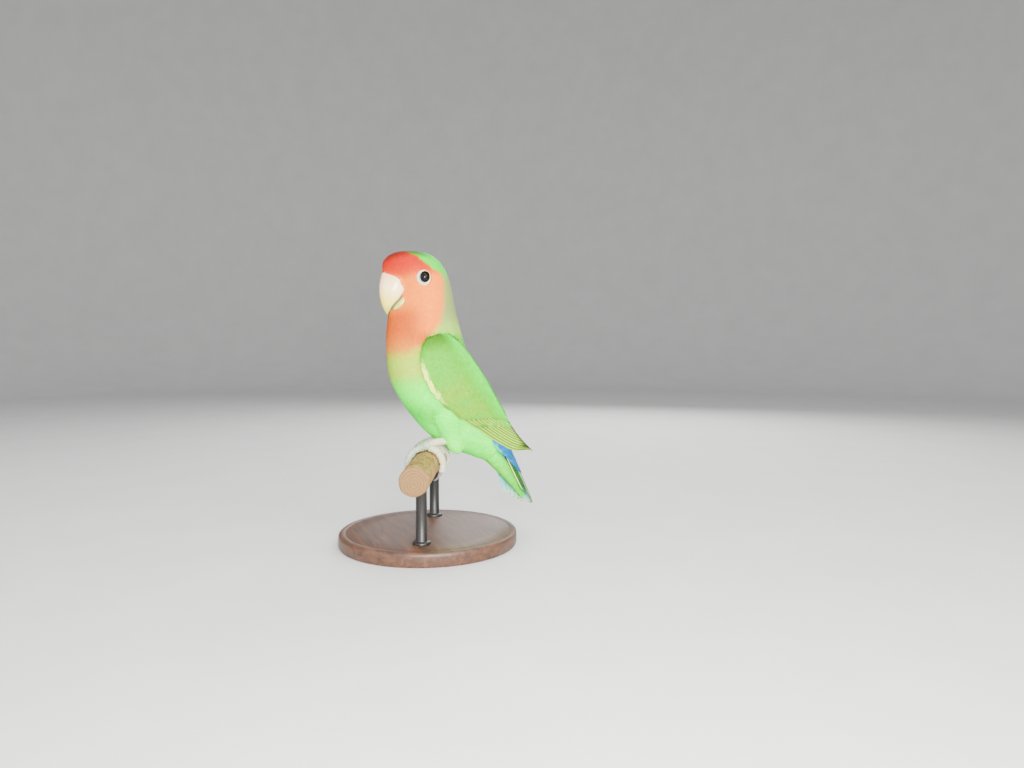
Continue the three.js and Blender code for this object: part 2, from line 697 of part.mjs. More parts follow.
function upperCoverts() {
  const base = GAP + 1.15;
  const vanes = UPPER_COVERTS.flatMap((tier) =>
    tier.places.map((place) => {
      const above = [];
      const below = [];
      VANE_STATIONS.forEach((share) => {
        const distance = tier.root + (tier.tip - tier.root) * share;
        const half = feathered(share) * 0.24;
        const rise = base + tier.lift * share ** 0.5 * (1 - 0.35 * share) - 0.25;
        const rows = [-1, 0, 1].map((u) => [place + u * half, rise - 0.14 * u * u]);
        above.push(rows.map(([across, height]) => tailPoint(distance, across, height)));
        below.push(rows.map(([across]) => tailPoint(distance, across, GAP + 0.45)));
      });
      return solid(sheet(above, below));
    }),
  );
  const saddle = [];
  const under = [];
  [2, 9, 17].forEach((distance) => {
    const across = [-0.8, -0.4, 0, 0.4, 0.8].map((place) => place * (distance > 12 ? 0.6 : 1));
    saddle.push(across.map((place) => tailPoint(distance, place, base + 0.2)));
    under.push(across.map((place) => tailPoint(distance, place, GAP + 0.6)));
  });
  return union([solid(sheet(saddle, under)), ...vanes]);
}

const underReads = ["y", "z", "depth", "width"].map((key) =>
  interpolated(UNDER_COVERTS.map((s) => s[key])),
);

// A point of the plume's surface: along 0 to 1, degrees from its underside, raised by height.
function underPoint(along, degrees, height = 0) {
  const [y, z, depth, width] = underReads.map((read) => read(along));
  const angle = THREE.MathUtils.degToRad(degrees);
  return vec(Math.sin(angle) * (width + height), y, z).addScaledVector(
    tailUp,
    -Math.cos(angle) * (depth + height),
  );
}

function underCoverts() {
  const rings = Array.from({ length: 5 }, (_, i) =>
    Array.from({ length: 12 }, (__, j) => underPoint((UNDER_CORE_END * i) / 4, 30 * j, -0.3)),
  );
  const vanes = UNDER_TIERS.flatMap((tier) =>
    tier.places.map((place) => {
      const above = [];
      const below = [];
      VANE_STATIONS.forEach((share) => {
        const along = tier.root + (tier.tip - tier.root) * share;
        const half = feathered(share) * 33;
        const rise = 0.55 * share ** 0.7 - 0.2;
        const angles = [place - half, place, place + half];
        above.push(angles.map((angle) => underPoint(along, angle, rise)));
        below.push(angles.map((angle) => underPoint(along, angle, rise - 0.7)));
      });
      return solid(sheet(above, below));
    }),
  );
  return union([solid(skinOver(rings)), ...vanes]);
}

function addTail() {
  const body = wholeBody(GAP);
  addNode("tail_feathers", tailFeathers().subtract(body), "tail_green");
  addNode("upper_tail_coverts", upperCoverts().subtract(body), "rump_blue");
  addNode("under_tail_coverts", underCoverts().subtract(body).subtract(tailBulk(GAP)), "green");
}

// Perch and stand
const perchAxis = vec(Math.cos(PERCH_YAW), Math.sin(PERCH_YAW), 0);
const perchBack = vec(-Math.sin(PERCH_YAW), Math.cos(PERCH_YAW), 0); // square to the dowel, to the rear

// A point at an angle round the dowel: 0 behind it, 90 on top, 180 before it.
function roundPerch(degrees, radius, alongPerch) {
  const angle = THREE.MathUtils.degToRad(degrees);
  return vec(0, 0, PERCH_HEIGHT)
    .addScaledVector(perchAxis, alongPerch)
    .addScaledVector(perchBack, radius * Math.cos(angle))
    .add(vec(0, 0, radius * Math.sin(angle)));
}

// A bar turned about its own axis from one end to the other, with chamfered ends.
function chamferedBar(start, end, radius, chamfer, sides) {
  const length = start.distanceTo(end);
  const profile = [
    [0, 0],
    [radius - chamfer, 0],
    [radius, chamfer],
    [radius, length - chamfer],
    [radius - chamfer, length],
    [0, length],
  ].map(([r, h]) => new THREE.Vector2(r, h));
  const turn = new THREE.Quaternion().setFromUnitVectors(
    vec(0, 1, 0),
    end.clone().sub(start).normalize(),
  );
  const matrix = new THREE.Matrix4().compose(start, turn, vec(1, 1, 1));
  return solid(new THREE.LatheGeometry(profile, sides), matrix);
}

function perchBar(grow = 0) {
  const start = roundPerch(0, 0, -PERCH_FAR - grow);
  const end = roundPerch(0, 0, PERCH_NEAR + grow);
  return chamferedBar(start, end, PERCH_RADIUS + grow, PERCH_CHAMFER, 32);
}

function addStand() {
  addNode("perch", perchBar(), "wood");
  const top = vec(0, 0, BASE_THICKNESS);
  const disc = chamferedBar(vec(0, 0, 0), top, BASE_RADIUS, BASE_CHAMFER, 40);
  addNode("stand_base", disc, "stand_base");
  const cutter = perchBar(GAP);
  [
    ["stand_rod_near", ROD_SPACING],
    ["stand_rod_far", -ROD_SPACING],
  ].forEach(([name, alongPerch]) => {
    const head = roundPerch(0, 0, alongPerch);
    const foot = head.clone().setZ(BASE_THICKNESS + GAP);
    const rod = chamferedBar(foot, head, ROD_RADIUS, 0.2, 16).subtract(cutter);
    addNode(name, rod, "stand_rod");
  });
}

// Legs and feet
// A round tube through points, with a radius at each, blended smoothly.
function tube(points, radii, steps, sides, grow = 0) {
  const line = curveThrough(points.map((p) => p.toArray()));
  const radius = interpolated(radii);
  let across = null;
  const rings = Array.from({ length: steps + 1 }, (_, i) => {
    const share = i / steps;
    const forward = line.getTangent(share);
    if (!across) {
      const guess = Math.abs(forward.x) > 0.8 ? vec(0, 0, 1) : vec(1, 0, 0);
      across = guess;
    }
    across = across.clone().addScaledVector(forward, -across.dot(forward)).normalize();
    const other = forward.clone().cross(across);
    const centre = line.getPoint(share);
    const r = Math.max(radius(share), 0.05) + grow;
    return Array.from({ length: sides }, (_, j) => {
      const angle = (2 * Math.PI * j) / sides;
      return centre
        .clone()
        .addScaledVector(across, Math.cos(angle) * r)
        .addScaledVector(other, Math.sin(angle) * r);
    });
  });
  return solid(skinOver(rings));
}

function thigh(name, side, grow = 0) {
  const ankle = vec(...ANKLE[name]);
  const points = THIGH.map((p) => ankle.clone().add(vec(side * p.out, p.back, p.up)));
  return tube(points, THIGH.map((p) => p.radius), 9, 13, grow);
}

const padCentre = (side) =>
  roundPerch(88, PERCH_RADIUS + GAP + TARSUS_RADIUS * 1.12, side * FOOT_SPREAD);

// The scaly shank from the ankle to the pad that the toes leave.
function tarsus(name, side, grow = 0) {
  const ankle = vec(...ANKLE[name]);
  const pad = padCentre(side);
  const middle = ankle.clone().lerp(pad, 0.5).add(vec(0, 0, 0.7));
  const front = roundPerch(104, PERCH_RADIUS + GAP + TARSUS_RADIUS * 0.95, side * FOOT_SPREAD);
  const r = TARSUS_RADIUS;
  return tube([ankle, middle, pad, front], [r, r * 0.95, r * 1.12, r * 0.8], 8, 12, grow);
}

function toeLine(toe, side, startAngle, endAngle, radius) {
  const points = [];
  for (let i = 0; i <= 4; i++) {
    const share = i / 4;
    const angle = startAngle + (endAngle - startAngle) * share;
    const passed = (angle - toe.start) / (toe.end - toe.start);
    const alongPerch = side * (FOOT_SPREAD + toe.root + (toe.splay - toe.root) * passed);
    points.push(roundPerch(angle, PERCH_RADIUS + GAP + radius(share), alongPerch));
  }
  return points;
}

function toeSolid(toe, side) {
  const knuckle = [1.05, 0.92, 1.04, 0.88, 0.8];
  const radii = knuckle.map((k) => k * toe.radius);
  const points = toeLine(toe, side, toe.start, toe.end, (share) => toe.radius * (1.05 - 0.2 * share));
  return tube(points, radii, 8, TOE_SIDES);
}

function clawSolid(toe, side) {
  const way = Math.sign(toe.end - toe.start);
  const sweep = THREE.MathUtils.radToDeg(CLAW.length / (PERCH_RADIUS + 1));
  const start = toe.end + way * THREE.MathUtils.radToDeg(GAP / (PERCH_RADIUS + toe.radius));
  const hooked = (share) => CLAW.radius + 0.15 + CLAW.hook * Math.sin(Math.PI * share * 0.8) * 0.4;
  const points = toeLine({ ...toe, end: start + way * sweep }, side, start, start + way * sweep, hooked);
  const radii = [CLAW.radius, CLAW.radius * 0.85, CLAW.radius * 0.62, CLAW.radius * 0.4, CLAW.tip];
  return tube(points, radii, 6, 7);
}

function addLegs() {
  const body = wholeBody(GAP);
  const wing = wingBulk();
  SIDES.forEach(([name, side]) => {
    const shank = tarsus(name, side).subtract(thigh(name, side, GAP)).subtract(body);
    addNode("thigh_" + name, thigh(name, side).subtract(body).subtract(onSide(wing, side)), "green");
    addNode("tarsus_" + name, shank, "leg");
    const hub = tarsus(name, side, GAP);
    TOES.forEach((toe) => {
      addNode("toe_" + name + "_" + toe.name, toeSolid(toe, side).subtract(hub), "leg");
      addNode("claw_" + name + "_" + toe.name, clawSolid(toe, side), "claw");
    });
  });
}

addHead();
addNode("neck", bodyBetween(HEAD_END + halfGap, NECK_END - halfGap, 3), "peach");
addNode("torso", bodyBetween(NECK_END + halfGap, 1, 14), "green");
addWings();
addTail();
addLegs();
addStand();

export default model;
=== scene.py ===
import math

import bpy
import numpy as np
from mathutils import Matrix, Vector
from mathutils.bvhtree import BVHTree


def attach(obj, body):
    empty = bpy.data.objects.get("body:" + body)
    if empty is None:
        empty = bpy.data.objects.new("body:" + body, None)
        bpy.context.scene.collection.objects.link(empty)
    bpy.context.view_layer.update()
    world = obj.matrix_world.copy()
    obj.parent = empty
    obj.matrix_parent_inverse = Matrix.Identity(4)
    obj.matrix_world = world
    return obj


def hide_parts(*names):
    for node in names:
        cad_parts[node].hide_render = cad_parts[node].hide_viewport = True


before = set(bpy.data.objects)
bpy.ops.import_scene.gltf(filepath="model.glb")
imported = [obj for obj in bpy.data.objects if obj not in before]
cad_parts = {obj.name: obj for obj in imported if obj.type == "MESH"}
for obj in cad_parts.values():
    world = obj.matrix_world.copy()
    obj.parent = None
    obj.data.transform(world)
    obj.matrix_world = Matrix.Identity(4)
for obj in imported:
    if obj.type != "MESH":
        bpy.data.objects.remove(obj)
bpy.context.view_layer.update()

# Lengths are in millimetres until a mesh is made. The bird faces -Y and its left side is +X.
# Lights, camera and the sizes in materials are in metres.
MM = 0.001
LEFT, RIGHT = 1, -1
SIDES = (("left", LEFT), ("right", RIGHT))
MIRROR = np.array([-1, 1, 1])


# Numbers and vectors
def smooth(low, high, value):
    t = np.clip((value - low) / (high - low), 0.0, 1.0)
    return t * t * (3 - 2 * t)


def unit(v):
    return v / np.maximum(np.linalg.norm(v, axis=-1, keepdims=True), 1e-9)


def dot(a, b):
    return np.sum(a * b, axis=-1, keepdims=True)


def flat(v, normal):
    """The part of v that lies along the surface, made a unit long."""
    return unit(v - dot(v, normal) * normal)


def together(*values):
    """The values as arrays of one shape."""
    return np.broadcast_arrays(*(np.asarray(v, float) for v in values))


def turns(count):
    """Angles spread evenly round a circle."""
    return 2 * np.pi * np.arange(count) / count


def curve_through(points):
    """A centripetal Catmull-Rom curve, as a function of a share from 0 to 1."""
    p = np.asarray(points, float)
    if p.ndim == 1:
        p = p[:, None]
    ext = np.vstack([2 * p[0] - p[1], p, 2 * p[-1] - p[-2]])

    def at(share):
        s = np.clip(np.asarray(share, float), 0, 1) * (len(p) - 1)
        i = np.minimum(s.astype(int), len(p) - 2)
        w = (s - i)[..., None]
        a, b, c, d = ext[i], ext[i + 1], ext[i + 2], ext[i + 3]

        def knot(m, n):
            return np.sum((m - n) ** 2, axis=-1, keepdims=True) ** 0.25

        k0, k1, k2 = knot(a, b), knot(b, c), knot(c, d)
        k1 = np.where(k1 < 1e-4, 1, k1)
        k0 = np.where(k0 < 1e-4, k1, k0)
        k2 = np.where(k2 < 1e-4, k1, k2)
        m1 = ((b - a) / k0 - (c - a) / (k0 + k1) + (c - b) / k1) * k1
        m2 = ((c - b) / k1 - (d - b) / (k1 + k2) + (d - c) / k2) * k1
        return b + m1 * w + (3 * (c - b) - 2 * m1 - m2) * w**2 + (2 * (b - c) + m1 + m2) * w**3

    return at


def values_through(values):
    curve = curve_through(values)
    return lambda share: curve(share)[..., 0]


def readings(table):
    """For each column of a table, a smooth function of the share from 0 to 1 along it."""
    return [values_through(column) for column in zip(*table)]


def blotches(p, size, seed):
    """Soft random patches from -1 to 1 about size across, the same on every run."""
    draw = np.random.default_rng(seed)
    total = np.zeros(len(p))
    for _ in range(7):
        way = draw.normal(size=3)
        way *= 2 * np.pi / size / np.linalg.norm(way) * draw.uniform(0.6, 1.5)
        bend = draw.normal(size=3) * 2.2 / size
        total += np.sin(p @ way + draw.uniform(0, 6.3) + 1.3 * np.sin(p @ bend))
    return np.clip(total / 4.2, -1, 1)


def colour(r, g, b):
    """An sRGB colour of 0 to 255 as linear light."""
    c = np.array([r, g, b]) / 255
    return np.where(c <= 0.04045, c / 12.92, ((c + 0.055) / 1.055) ** 2.4)


def blend(a, b, share):
    return a + (b - a) * np.asarray(share)[..., None]


# Body: the sections of head, neck and torso
BODY = [
    # y, z, tilt, half depth, half width, back heavy, pointed
    (-9, 163.4, 0, 0, 0, 0, 0),
    (-9, 162.7, 0, 7.4, 5.8, 0, 0),
    (-8.9, 160.6, 0, 12.5, 9.4, 0.04, 0),
    (-8.2, 157, 0, 15.8, 11.8, 0.1, 0.1),
    (-7.1, 152, 0, 17.8, 13, 0.16, 0.4),
    (-5.3, 145.4, 1, 18.1, 13.7, 0.18, 0.85),
    (-3.9, 138, 2, 18.1, 14.1, 0.14, 0.75),
    (-3.1, 130, 4, 19, 14.4, 0.08, 0.25),
    (-2.7, 122, 7, 20.5, 15.4, 0.04, 0.08),
    (-1.5, 112, 11, 21.9, 17.2, 0, 0),
    (1, 100, 19, 23.1, 18.4, -0.04, 0),
    (7.1, 87.6, 29, 22.2, 18.4, -0.06, 0),
    (15, 75.6, 37, 20.4, 17, -0.06, 0),
    (24.2, 65, 43, 16.6, 13.6, -0.04, 0),
    (33, 56.6, 46, 11.6, 10, 0, 0),
    (40.2, 50.4, 48, 8, 7.4, 0, 0),
]
COAT_DEPTH = 0.6  # of the skin under the body's outer form
ROOT_DEPTH = 0.3  # of a feather's root under it
COAT_OVERLAP = 0.9  # how far the coats of body and thighs run into each other
BILL_GAP = 0.15  # between the bill and the nearest feathers
BILL_ROOT = np.array([0, -19.0, 142.0])  # the coat runs back from here
body_spine = curve_through([(0, s[0], s[1]) for s in BODY])
body_tilt, body_depth, body_width, body_back_heavy, body_pointed = readings(BODY)[2:]


def body_point(share, angle):
    """A point of the body's outer form: angle 0 is the front, half a turn the back."""
    share, angle = together(share, angle)
    tilt = np.radians(body_tilt(share))
    back = np.stack([0 * tilt, np.cos(tilt), np.sin(tilt)], -1)
    backward = -np.cos(angle)
    forward = np.maximum(-backward, 0)
    taper = 1 + body_back_heavy(share) * backward - body_pointed(share) * forward**2
    side = np.sin(angle) * taper * np.maximum(body_width(share), 0)
    depth = np.maximum(body_depth(share), 0)
    p = body_spine(share) + back * (backward * depth)[..., None]
    p[..., 0] += side
    return p


def surface_normal(point, a, b, away):
    """The outward normal of point(a, b), where away(a) is a point inside."""
    step = 2e-3
    da = point(np.clip(a + step, 0, 1), b) - point(np.clip(a - step, 0, 1), b)
    db = point(a, b + step) - point(a, b - step)
    n = unit(np.cross(da, db))
    out = point(a, b) - away(a)
    return np.where(dot(n, out) < 0, -n, n)


# Meshes
def make_object(name, verts, faces, rim=None):
    """A mesh object from points in millimetres and one array of triangles or quads.

    rim marks the points along which two faces of a thin form meet."""
    verts = np.asarray(verts, float).reshape(-1, 3)
    faces = np.asarray(faces, np.int32)
    mesh = bpy.data.meshes.new(name)
    mesh.vertices.add(len(verts))
    mesh.vertices.foreach_set("co", (verts * MM).astype(np.float32).ravel())
    mesh.loops.add(faces.size)
    mesh.loops.foreach_set("vertex_index", faces.ravel())
    mesh.polygons.add(len(faces))
    mesh.polygons.foreach_set("loop_start", np.arange(0, faces.size, faces.shape[1], dtype=np.int32))
    mesh.polygons.foreach_set("use_smooth", np.full(len(faces), True))
    mesh.update(calc_edges=True)
    if rim is not None:
        ends = np.empty(len(mesh.edges) * 2, np.int32)
        mesh.edges.foreach_get("vertices", ends)
        sharp = mesh.attributes.new("sharp_edge", "BOOLEAN", "EDGE")
        sharp.data.foreach_set("value", rim[ends.reshape(-1, 2)].all(axis=1))
    obj = bpy.data.objects.new(name, mesh)
    bpy.context.scene.collection.objects.link(obj)
    return obj


def add_colours(obj, rgb):
    data = obj.data.attributes.new("tint", "FLOAT_COLOR", "POINT")
    rgba = np.ones((len(obj.data.vertices), 4), np.float32)
    rgba[:, :3] = np.clip(rgb, 0, 1)
    data.data.foreach_set("color", rgba.ravel())


def add_vectors(obj, name, vectors):
    data = obj.data.attributes.new(name, "FLOAT_VECTOR", "POINT")
    data.data.foreach_set("vector", np.asarray(vectors, np.float32).ravel())


def add_bake_map(obj, uv):
    """A UV map with one place for each vertex."""
    layer = obj.data.uv_layers.new(name="OFBake")
    loops = np.empty(len(obj.data.loops), np.int32)
    obj.data.loops.foreach_get("vertex_index", loops)
    layer.data.foreach_set("uv", np.asarray(uv, np.float32)[loops].ravel())


def grid_faces(rows, columns, closed):
    """Quads over a grid of points, joined round each row where it is closed."""
    i, j = np.meshgrid(range(rows - 1), range(columns if closed else columns - 1), indexing="ij")
    k = (j + 1) % columns
    quads = [i * columns + j, i * columns + k, (i + 1) * columns + k, (i + 1) * columns + j]
    return np.stack(quads, -1).reshape(-1, 4)


def halves(quads):
    """Each quad as two triangles."""
    return np.vstack([quads[:, [0, 1, 2]], quads[:, [0, 2, 3]]])


def facing_out(points, tris):
    """The triangles of a closed form, turned outward."""
    a, b, c = (points[corner] - points.mean(0) for corner in tris.T)
    return tris if np.sum(np.cross(a, b) * c) >= 0 else tris[:, ::-1]


def rings_mesh(rings):
    """Points and triangles of a closed form over rings, with a fan over each end."""
    rings = np.asarray(rings, float)
    rows, columns = rings.shape[:2]
    points = np.vstack([rings.reshape(-1, 3), rings[0].mean(0), rings[-1].mean(0)])
    first, last = len(points) - 2, len(points) - 1
    j = np.arange(columns)
    k = (j + 1) % columns
    low = np.stack([np.full(columns, first), k, j], -1)
    high = (rows - 1) * columns
    top = np.stack([np.full(columns, last), high + j, high + k], -1)
    return points, facing_out(points, np.vstack([halves(grid_faces(rows, columns, True)), low, top]))


def tree_of(points, tris):
    return BVHTree.FromPolygons(points.tolist(), tris.tolist())


def inside(tree, points):
    """True for each point in a closed tree, from the count of walls along one line out of it."""
    way = Vector((0.6, 0.64, 0.48)).normalized()
    result = np.zeros(len(points), bool)
    for i, p in enumerate(points):
        hit = Vector(p)
        while hit is not None:
            hit = tree.ray_cast(hit + way * 1e-4, way)[0]
            if hit is not None:
                result[i] = not result[i]
    return result


def depth_inside(tree, points):
    """How far each point lies inside a closed tree, negative outside."""
    gap = np.array([tree.find_nearest(Vector(p))[3] for p in points])
    return np.where(inside(tree, points), gap, -gap)


# Scattering
TRIES = 3.2  # random places tried for each one that fits


def scatter(point, away, low, high, radius, seed, grid=(160, 128), span=(0, 2 * np.pi)):
    """Evenly spread random places on a surface: their two shares, points and normals.

    away(a) is a point inside at the share a, and radius(p) the spacing wanted at p."""
    draw = np.random.default_rng(seed)
    a = np.linspace(low, high, grid[0] + 1)
    b = np.linspace(span[0], span[1], grid[1] + 1)
    corner = point(a[:, None], b[None, :])
    across = np.cross(corner[1:, 1:] - corner[:-1, :-1], corner[1:, :-1] - corner[:-1, 1:])
    area = np.linalg.norm(across, axis=-1) / 2
    middle = point((a[:-1, None] + a[1:, None]) / 2, (b[None, :-1] + b[None, 1:]) / 2)
    weight = area / radius(middle.reshape(-1, 3)).reshape(area.shape) ** 2
    expected = weight.sum()
    share = np.cumsum(weight.ravel()) / expected
    cell = np.minimum(np.searchsorted(share, draw.random(int(expected * TRIES))), area.size - 1)
    i, j = np.divmod(cell, grid[1])
    ca = a[i] + (a[1] - a[0]) * draw.random(len(i))
    cb = b[j] + (b[1] - b[0]) * draw.random(len(i))
    p = point(ca, cb)
    r = radius(p)
    keep = thinned(p, r)
    ca, cb, p = ca[keep], cb[keep], p[keep]
    return ca, cb, p, surface_normal(point, ca, cb, away)


def thinned(points, radii):
    """Drops each point that is nearer than its radius to one kept before it."""
    size = float(radii.max())
    cells = {}
    keep = []
    keys = np.floor(points / size).astype(int)
    around = [(i, j, k) for i in (-1, 0, 1) for j in (-1, 0, 1) for k in (-1, 0, 1)]
    pts = points.tolist()
    for index, (key, p, r) in enumerate(zip(keys.tolist(), pts, radii.tolist())):
        square = r * r
        near = any(
            (p[0] - q[0]) ** 2 + (p[1] - q[1]) ** 2 + (p[2] - q[2]) ** 2 < square
            for i, j, k in around
            for q in cells.get((key[0] + i, key[1] + j, key[2] + k), ()))
        if not near:
            cells.setdefault(tuple(key), []).append(p)
            keep.append(index)
    return np.array(keep, int)


# Feathers
def vane_form(stations):
    """A leaf-shaped closed vane: places along it, across it, over or under, and its triangles.

    stations are pairs of a share along the vane and its half width there."""
    along, across, level = [0.0], [0.0], [0.0]
    for share, half in stations:
        along += [share] * 4
        across += [-half, 0.0, half, 0.0]
        level += [0.0, 1.0, 0.0, -1.0]
    along.append(1.0)
    across.append(0.0)
    level.append(0.0)
    tris = []
    for j in range(4):
        tris.append((0, 1 + (j + 1) % 4, 1 + j))
    for i in range(len(stations) - 1):
        base = 1 + 4 * i
        for j in range(4):
            a, b = base + j, base + (j + 1) % 4
            tris += [(a, b, b + 4), (a, b + 4, a + 4)]
    end = 1 + 4 * (len(stations) - 1)
    for j in range(4):
        tris.append((len(along) - 1, end + j, end + (j + 1) % 4))
    return np.array(along), np.array(across), np.array(level), np.array(tris)


SMALL_VANE = vane_form([(0.2, 0.62), (0.55, 1.0), (0.86, 0.66)])
BODY_VANE = vane_form([(0.12, 0.5), (0.38, 0.94), (0.66, 1.0), (0.88, 0.66)])
LONG_VANE = vane_form([(0.08, 0.45), (0.25, 0.82), (0.45, 1.0), (0.65, 1.0), (0.82, 0.84), (0.94, 0.5)])
VANE_THICK = 0.05
VANE_CROWN = 0.03  # how far a vane's middle stands over its rim, as a share of its width
RAGGED = 0.06  # how unevenly a vane's rim runs
ROOT_SHADE = 0.06  # how much darker a vane's root is
BAKE_PATCH = 0.003  # a vane's size on the bake map
COAT_LIMIT = 190000  # triangles in one mesh


class Coat:
    """Feathers that are gathered and then made as one mesh, or several where they are many."""

    def __init__(self, name, material):
        self.name = name
        self.material = material
        self.parts = []

    def add(self, form, root, root_normal, tip, tip_normal, width, tint, place, edge=0.03, seed=1):
        """Adds vanes from root to tip, each curving from one surface normal to the other.

        tint is the colour of each vane, place its spot on the bake map, and edge how much
        lighter its rim is."""
        draw = np.random.default_rng(seed)
        along, across, level, tris = form
        shape = (len(root), len(along))
        chord = tip - root
        length = np.linalg.norm(chord, axis=-1, keepdims=True)
        start = flat(chord, root_normal) * length
        end = flat(chord, tip_normal) * length
        waver = draw.normal(0, RAGGED * 0.35, shape) * (across[None, :] != 0)
        t = np.clip(along[None, :] + waver, 0, 1)[..., None]
        p = (2 * t**3 - 3 * t**2 + 1) * root[:, None] + (t**3 - 2 * t**2 + t) * start[:, None]
        p = p + (3 * t**2 - 2 * t**3) * tip[:, None] + (t**3 - t**2) * end[:, None]
        normal = unit(root_normal[:, None] * (1 - t) + tip_normal[:, None] * t)
        side = unit(np.cross(unit(chord)[:, None], normal))
        wide = 1 + draw.normal(0, RAGGED, shape)
        width = np.asarray(width).reshape(-1, 1)
        half = (width / 2) * across[None, :] * wide
        lift = VANE_CROWN * width * (1 - across[None, :] ** 2) + VANE_THICK / 2 * level[None, :]
        verts = p + side * half[..., None] + normal * lift[..., None]
        verts[:, 0] = p[:, 0]
        lighter = (np.abs(across)[None, :, None] > 0) * edge
        rgb = np.repeat(tint[:, None], len(along), 1) * (1 + lighter) * (1 - ROOT_SHADE * (1 - t) ** 2)
        uv = place[:, None] + np.stack([across * 0.5, along - 0.5], -1)[None] * BAKE_PATCH
        each = np.repeat(draw.random((shape[0], 1)), shape[1], 1)
        mark = np.stack([np.repeat(across[None], shape[0], 0), t[..., 0], each], -1)
        rim = np.repeat((level == 0)[None], shape[0], 0)
        self.parts.append((tris, (verts, rgb, uv, mark, rim)))

    def build(self):
        """Makes the meshes, each under the limit of triangles."""
        total = sum(len(data[0]) * len(tris) for tris, data in self.parts)
        batches, room = [[]], COAT_LIMIT
        for tris, data in self.parts:
            start = 0
            while start < len(data[0]):
                fitting = room // len(tris)
                if fitting == 0:
                    batches.append([])
                    room = COAT_LIMIT
                    continue
                part = [values[start:start + fitting] for values in data]
                batches[-1].append((tris, part))
                room -= len(part[0]) * len(tris)
                start += fitting
        for number, batch in enumerate(batches, 1):
            faces, offset = [], 0
            for tris, (verts, *_) in batch:
                count, size = verts.shape[:2]
                faces.append((tris[None] + (offset + np.arange(count) * size)[:, None, None]).reshape(-1, 3))
                offset += count * size
            verts, rgb, uv, mark, rim = (
                np.concatenate([values.reshape(-1, *values.shape[2:]) for values in kind])
                for kind in zip(*(part for _, part in batch)))
            name = self.name if total <= COAT_LIMIT else f"{self.name}_{number}"
            obj = make_object(name, verts, np.vstack(faces), rim)
            add_colours(obj, rgb)
            add_vectors(obj, "vane", mark)
            add_bake_map(obj, uv)
            finish_piece(obj, self.material)


def on_map(across, along):
    """Places on the bake map, from shares from 0 to 1."""
    return np.stack([0.02 + 0.96 * across, 0.02 + 0.96 * along], -1)


def varied(tint, draw):
    """The tint of each vane, made a little lighter or darker and shifted a little in hue."""
    return tint * draw.normal(1, 0.035, (len(tint), 1)) * (1 + draw.normal(0, 0.014, (len(tint), 3)))


def finish_piece(obj, material):
    obj.data.materials.append(material)
    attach(obj, "root")


# Materials
class Graph:
    """Short calls for a material's nodes."""

    def __init__(self, name):
        self.material = bpy.data.materials.new(name)
        self.material.use_nodes = True
        self.tree = self.material.node_tree
        self.shader = self.tree.nodes["Principled BSDF"]

    def node(self, kind, inputs=(), **settings):
        node = self.tree.nodes.new(kind)
        for key, value in settings.items():
            setattr(node, key, value)
        for key, value in dict(inputs).items():
            if isinstance(value, bpy.types.NodeSocket):
                self.tree.links.new(value, node.inputs[key])
            else:
                node.inputs[key].default_value = value
        return node

    def attribute(self, name, output="Color"):
        return self.node("ShaderNodeAttribute", attribute_name=name).outputs[output]

    def place(self, scale=(1, 1, 1), turn=0.0):
        """The place in the object's own frame, scaled and then turned about Z."""
        coords = self.node("ShaderNodeTexCoord").outputs["Object"]
        return self.node("ShaderNodeMapping", {"Vector": coords, "Rotation": (0, 0, turn),
                                               "Scale": scale}).outputs["Vector"]

    def noise(self, scale, detail, rough, vector=None, distortion=0.0):
        node = self.node("ShaderNodeTexNoise", {
            "Vector": vector if vector is not None else self.place(),
            "Scale": scale, "Detail": detail, "Roughness": rough, "Distortion": distortion})
        return node.outputs["Fac"]

    def math(self, operation, a, b=0.5):
        return self.node("ShaderNodeMath", {0: a, 1: b}, operation=operation).outputs[0]

    def between(self, value, low, high, start=0.0, end=1.0):
        """Runs from start to end as value goes from low to high."""
        return self.node("ShaderNodeMapRange", {"Value": value, "From Min": low, "From Max": high,
                                                "To Min": start, "To Max": end}).outputs["Result"]

    def ramp(self, factor, stops):
        node = self.node("ShaderNodeValToRGB", {"Fac": factor})
        ramp = node.color_ramp
        while len(ramp.elements) < len(stops):
            ramp.elements.new(0.5)
        for element, (position, rgb) in zip(ramp.elements, stops):
            element.position = position
            element.color = (*rgb, 1)
        return node.outputs["Color"]

    def mix(self, factor, a, b):
        node = self.node("ShaderNodeMix", data_type="RGBA")
        for index, value in ((0, factor), (6, a), (7, b)):
            if isinstance(value, bpy.types.NodeSocket):
                self.tree.links.new(value, node.inputs[index])
            elif index == 0:
                node.inputs[index].default_value = value
            else:
                node.inputs[index].default_value = (*value, 1)
        return node.outputs[2]

    def speckled(self, base, pattern, share, rgb):
        """The base with rgb laid over it as the pattern rises."""
        return self.mix(self.math("MULTIPLY", pattern, share), base, rgb)

    def bump(self, height, strength, distance, normal=None):
        inputs = {"Height": height, "Strength": strength, "Distance": distance}
        if normal is not None:
            inputs["Normal"] = normal
        return self.node("ShaderNodeBump", inputs).outputs["Normal"]

    def set(self, **sockets):
        names = {"base": "Base Color", "rough": "Roughness", "normal": "Normal",
                 "sheen": "Sheen Weight", "sheen_rough": "Sheen Roughness",
                 "coat": "Coat Weight", "coat_rough": "Coat Roughness", "metal": "Metallic",
                 "level": "Specular IOR Level", "scatter": "Subsurface Weight",
                 "scatter_radius": "Subsurface Radius", "scatter_scale": "Subsurface Scale"}
        for key, value in sockets.items():
            socket = self.shader.inputs[names[key]]
            if isinstance(value, bpy.types.NodeSocket):
                self.tree.links.new(value, socket)
            else:
                socket.default_value = value
        return self.material


